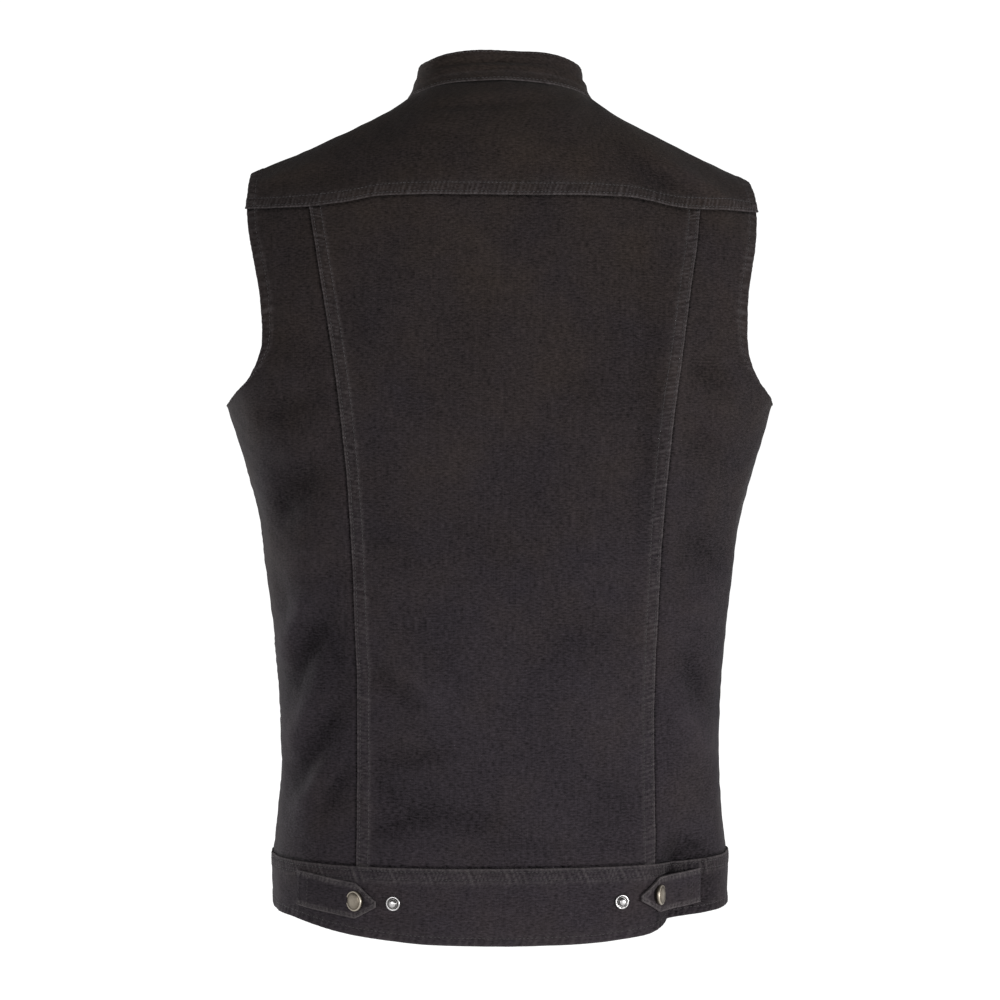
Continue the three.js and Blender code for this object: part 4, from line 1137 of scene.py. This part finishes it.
# Snap profiles: (radius, height, how bright the metal is rubbed).
CAP_PROFILE = [
    (0, -2.4, 0), (7.1, -2.4, 0), (7.5, -0.2, 0.5), (7.5, 0.35, 0.9), (7.3, 0.75, 1), (6.95, 0.95, 1),
    (6.6, 0.85, 0.7), (6.35, 0.8, 0.1), (6.0, 1.0, 0.1), (5.2, 1.45, 0.25), (4.0, 1.85, 0.35),
    (2.4, 2.1, 0.45), (1.0, 2.18, 0.5), (0, 2.2, 0.5),
]
STUD_PROFILE = [
    (0, -0.9, 0), (5.2, -0.9, 0.2), (5.4, -0.3, 0.5), (5.4, 0.5, 0.8), (5.1, 0.9, 1), (4.6, 1.0, 1),
    (4.2, 0.85, 0.6), (3.7, 0.35, 0), (3.0, 0.3, 0), (2.6, 0.6, 0.3), (2.45, 1.6, 0.6), (2.6, 2.3, 0.9),
    (2.2, 2.75, 1), (1.2, 2.95, 1), (0, 3.0, 1),
]
SNAP_SIDES = 44


def ring_faces(rings, sides):
    """Quads between one ring of points and the next."""
    steps = [(a * sides, i, (i + 1) % sides) for a in range(rings - 1) for i in range(sides)]
    return [(a + i, a + j, a + sides + j, a + sides + i) for a, i, j in steps]


def fastener(name, node, profile, look, spot, above, surface=form, lean=0):
    """A turned fastener set on the cloth in place of its CAD node, leaning sideways by an angle."""
    place = surface(*spot)
    out = outward(surface, *spot)
    place = place + out * above
    aside = unit(np.cross([0, 0, 1], out))
    out = out * math.cos(lean) + aside * math.sin(lean)
    aside = unit(np.cross([0, 0, 1], out))
    upward = np.cross(out, aside)
    turns = np.arange(SNAP_SIDES) * math.tau / SNAP_SIDES
    points, worn = [], []
    for radius, high, rubbed in profile:
        for t in turns:
            offset = aside * radius * math.cos(t) + upward * radius * math.sin(t)
            points.append(place + out * high + offset)
            worn.append(rubbed)
    faces = ring_faces(len(profile), SNAP_SIDES)
    made = make_piece(name, np.array(points), faces, [look], worn=np.array(worn, float))
    weld(made)
    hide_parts(node)
    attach(made, "root")


def weld(piece):
    """Joins the points that meet at a turned piece's axis, and turns its faces outwards."""
    shape = bmesh.new()
    shape.from_mesh(piece.data)
    bmesh.ops.remove_doubles(shape, verts=shape.verts, dist=1e-6)
    bmesh.ops.recalc_face_normals(shape, faces=shape.faces)
    shape.to_mesh(piece.data)
    shape.free()
    piece.data.shade_smooth()


def tab_cap_place(tab):
    hand, root, root_up, tip, tip_up = tab
    return hand * (tip + TAB_CAP_IN), mix(tip_up, root_up, TAB_CAP_IN / (root - tip))


def make_snaps():
    for i, up in enumerate(snap_heights()):
        spot = spot_at(0, up, 1)
        name = f"front_snap_{i + 1}"
        fastener(name + "_cap", name, CAP_PROFILE, BRASS, spot, 2 * FRONT_LAP + LAYER_GAP)
    spot = spot_at(0, BAND_SNAP_UP, 1)
    above = BAND_OUTER + BAND_LAP + LAYER_GAP
    fastener("band_snap_cap", "band_snap", CAP_PROFILE, BRASS, spot, above)
    for side, tab in TABS.items():
        cap = spot_at(*tab_cap_place(tab))
        above = BAND_OUTER + LAYER_GAP + TAB_THICK + CAP_CLEAR
        name = f"tab_cap_{side}"
        lean = -tab[0] * math.radians(TAB_CAP_LEAN)
        fastener(name + "_cap", name, CAP_PROFILE, BRASS, cap, above, bridged(tab), lean)
        stud = spot_at(tab[0] * TAB_STUD, TAB_STUD_UP)
        above = BAND_OUTER + LAYER_GAP
        fastener(f"stud_{side}_post", f"stud_{side}", STUD_PROFILE, NICKEL, stud, above)


def make_stage():
    """A pale floor below the hem that curves up into a wall all round, and soft lights."""
    grey, white = (0.1, 0.1, 0.1, 1), (1, 1, 1, 1)
    material, tree, principled = new_material(
        "pale_floor", Roughness=0.9, Specular_IOR_Level=0.1, Base_Color=grey, Emission_Color=white
    )
    set_inputs(principled, {"Emission Strength": ranged(tree, height_in(tree), 1.4, 2.4, 1.0, 0.1)})
    low, flat, bend, high, steps, sides = -0.74, 4.2, 1.6, 4.0, 12, 96
    profile = [(0.02, low), (flat / 2, low), (flat, low)]
    for step in range(1, steps + 1):
        angle = step / steps * math.pi / 2
        profile.append((flat + bend * math.sin(angle), low + bend * (1 - math.cos(angle))))
    profile.append((flat + bend, high))
    turns = [i * math.tau / sides for i in range(sides)]
    points = [(wide * math.cos(turn), wide * math.sin(turn), up) for wide, up in profile for turn in turns]
    faces = ring_faces(len(profile), sides)
    faces.append(list(range(sides))[::-1])
    mesh = bpy.data.meshes.new("floor")
    mesh.from_pydata(points, [], faces)
    mesh.materials.append(material)
    mesh.shade_smooth()
    floor = put("floor", mesh)


# Soft lights: name, place, width, power in watts.
LIGHTS = [
    ("key", (-2.1, 1.8, -0.6), 0.7, 82),
    ("fill", (1.2, 2.5, 0.0), 1.2, 22),
    ("front_key", (2.1, -1.8, -0.6), 0.7, 82),
    ("front_fill", (-1.2, -2.5, 0.0), 1.2, 22),
]
TARGET = Vector((0, 0, -0.278))
CAMERA_AWAY, CAMERA_TURN, CAMERA_LENS = 2, 3, 92.3
AMBIENT = 0.25


def aim(thing, place):
    """Puts a light or the camera in its place, turned to the middle of the vest."""
    thing.location = place
    thing.rotation_euler = (TARGET - thing.location).to_track_quat("-Z", "Y").to_euler()


def make_lights():
    for name, place, wide, power in LIGHTS:
        data = bpy.data.lights.new(name, "AREA")
        data.shape, data.size, data.energy = "DISK", wide, power
        aim(put(name, data), place)
    world = bpy.data.worlds.new("studio")
    world.use_nodes = True
    background = world.node_tree.nodes["Background"]
    background.inputs["Color"].default_value = (1, 1, 1, 1)
    background.inputs["Strength"].default_value = AMBIENT
    bpy.context.scene.world = world
    bpy.context.scene.view_settings.view_transform = "Standard"


def make_camera():
    """Level with the middle of the vest, 2 m behind it and 3 degrees to its left."""
    data = bpy.data.cameras.new("camera")
    data.lens, data.sensor_width = CAMERA_LENS, 36
    camera = put("camera", data)
    turn = math.radians(CAMERA_TURN)
    aim(camera, (CAMERA_AWAY * math.sin(turn), CAMERA_AWAY * math.cos(turn), TARGET.z))
    bpy.context.scene.camera = camera


make_collar()
make_yoke()
make_back()
make_fronts()
make_waistband()
make_tabs()
make_snaps()
make_stage()
make_lights()
make_camera()
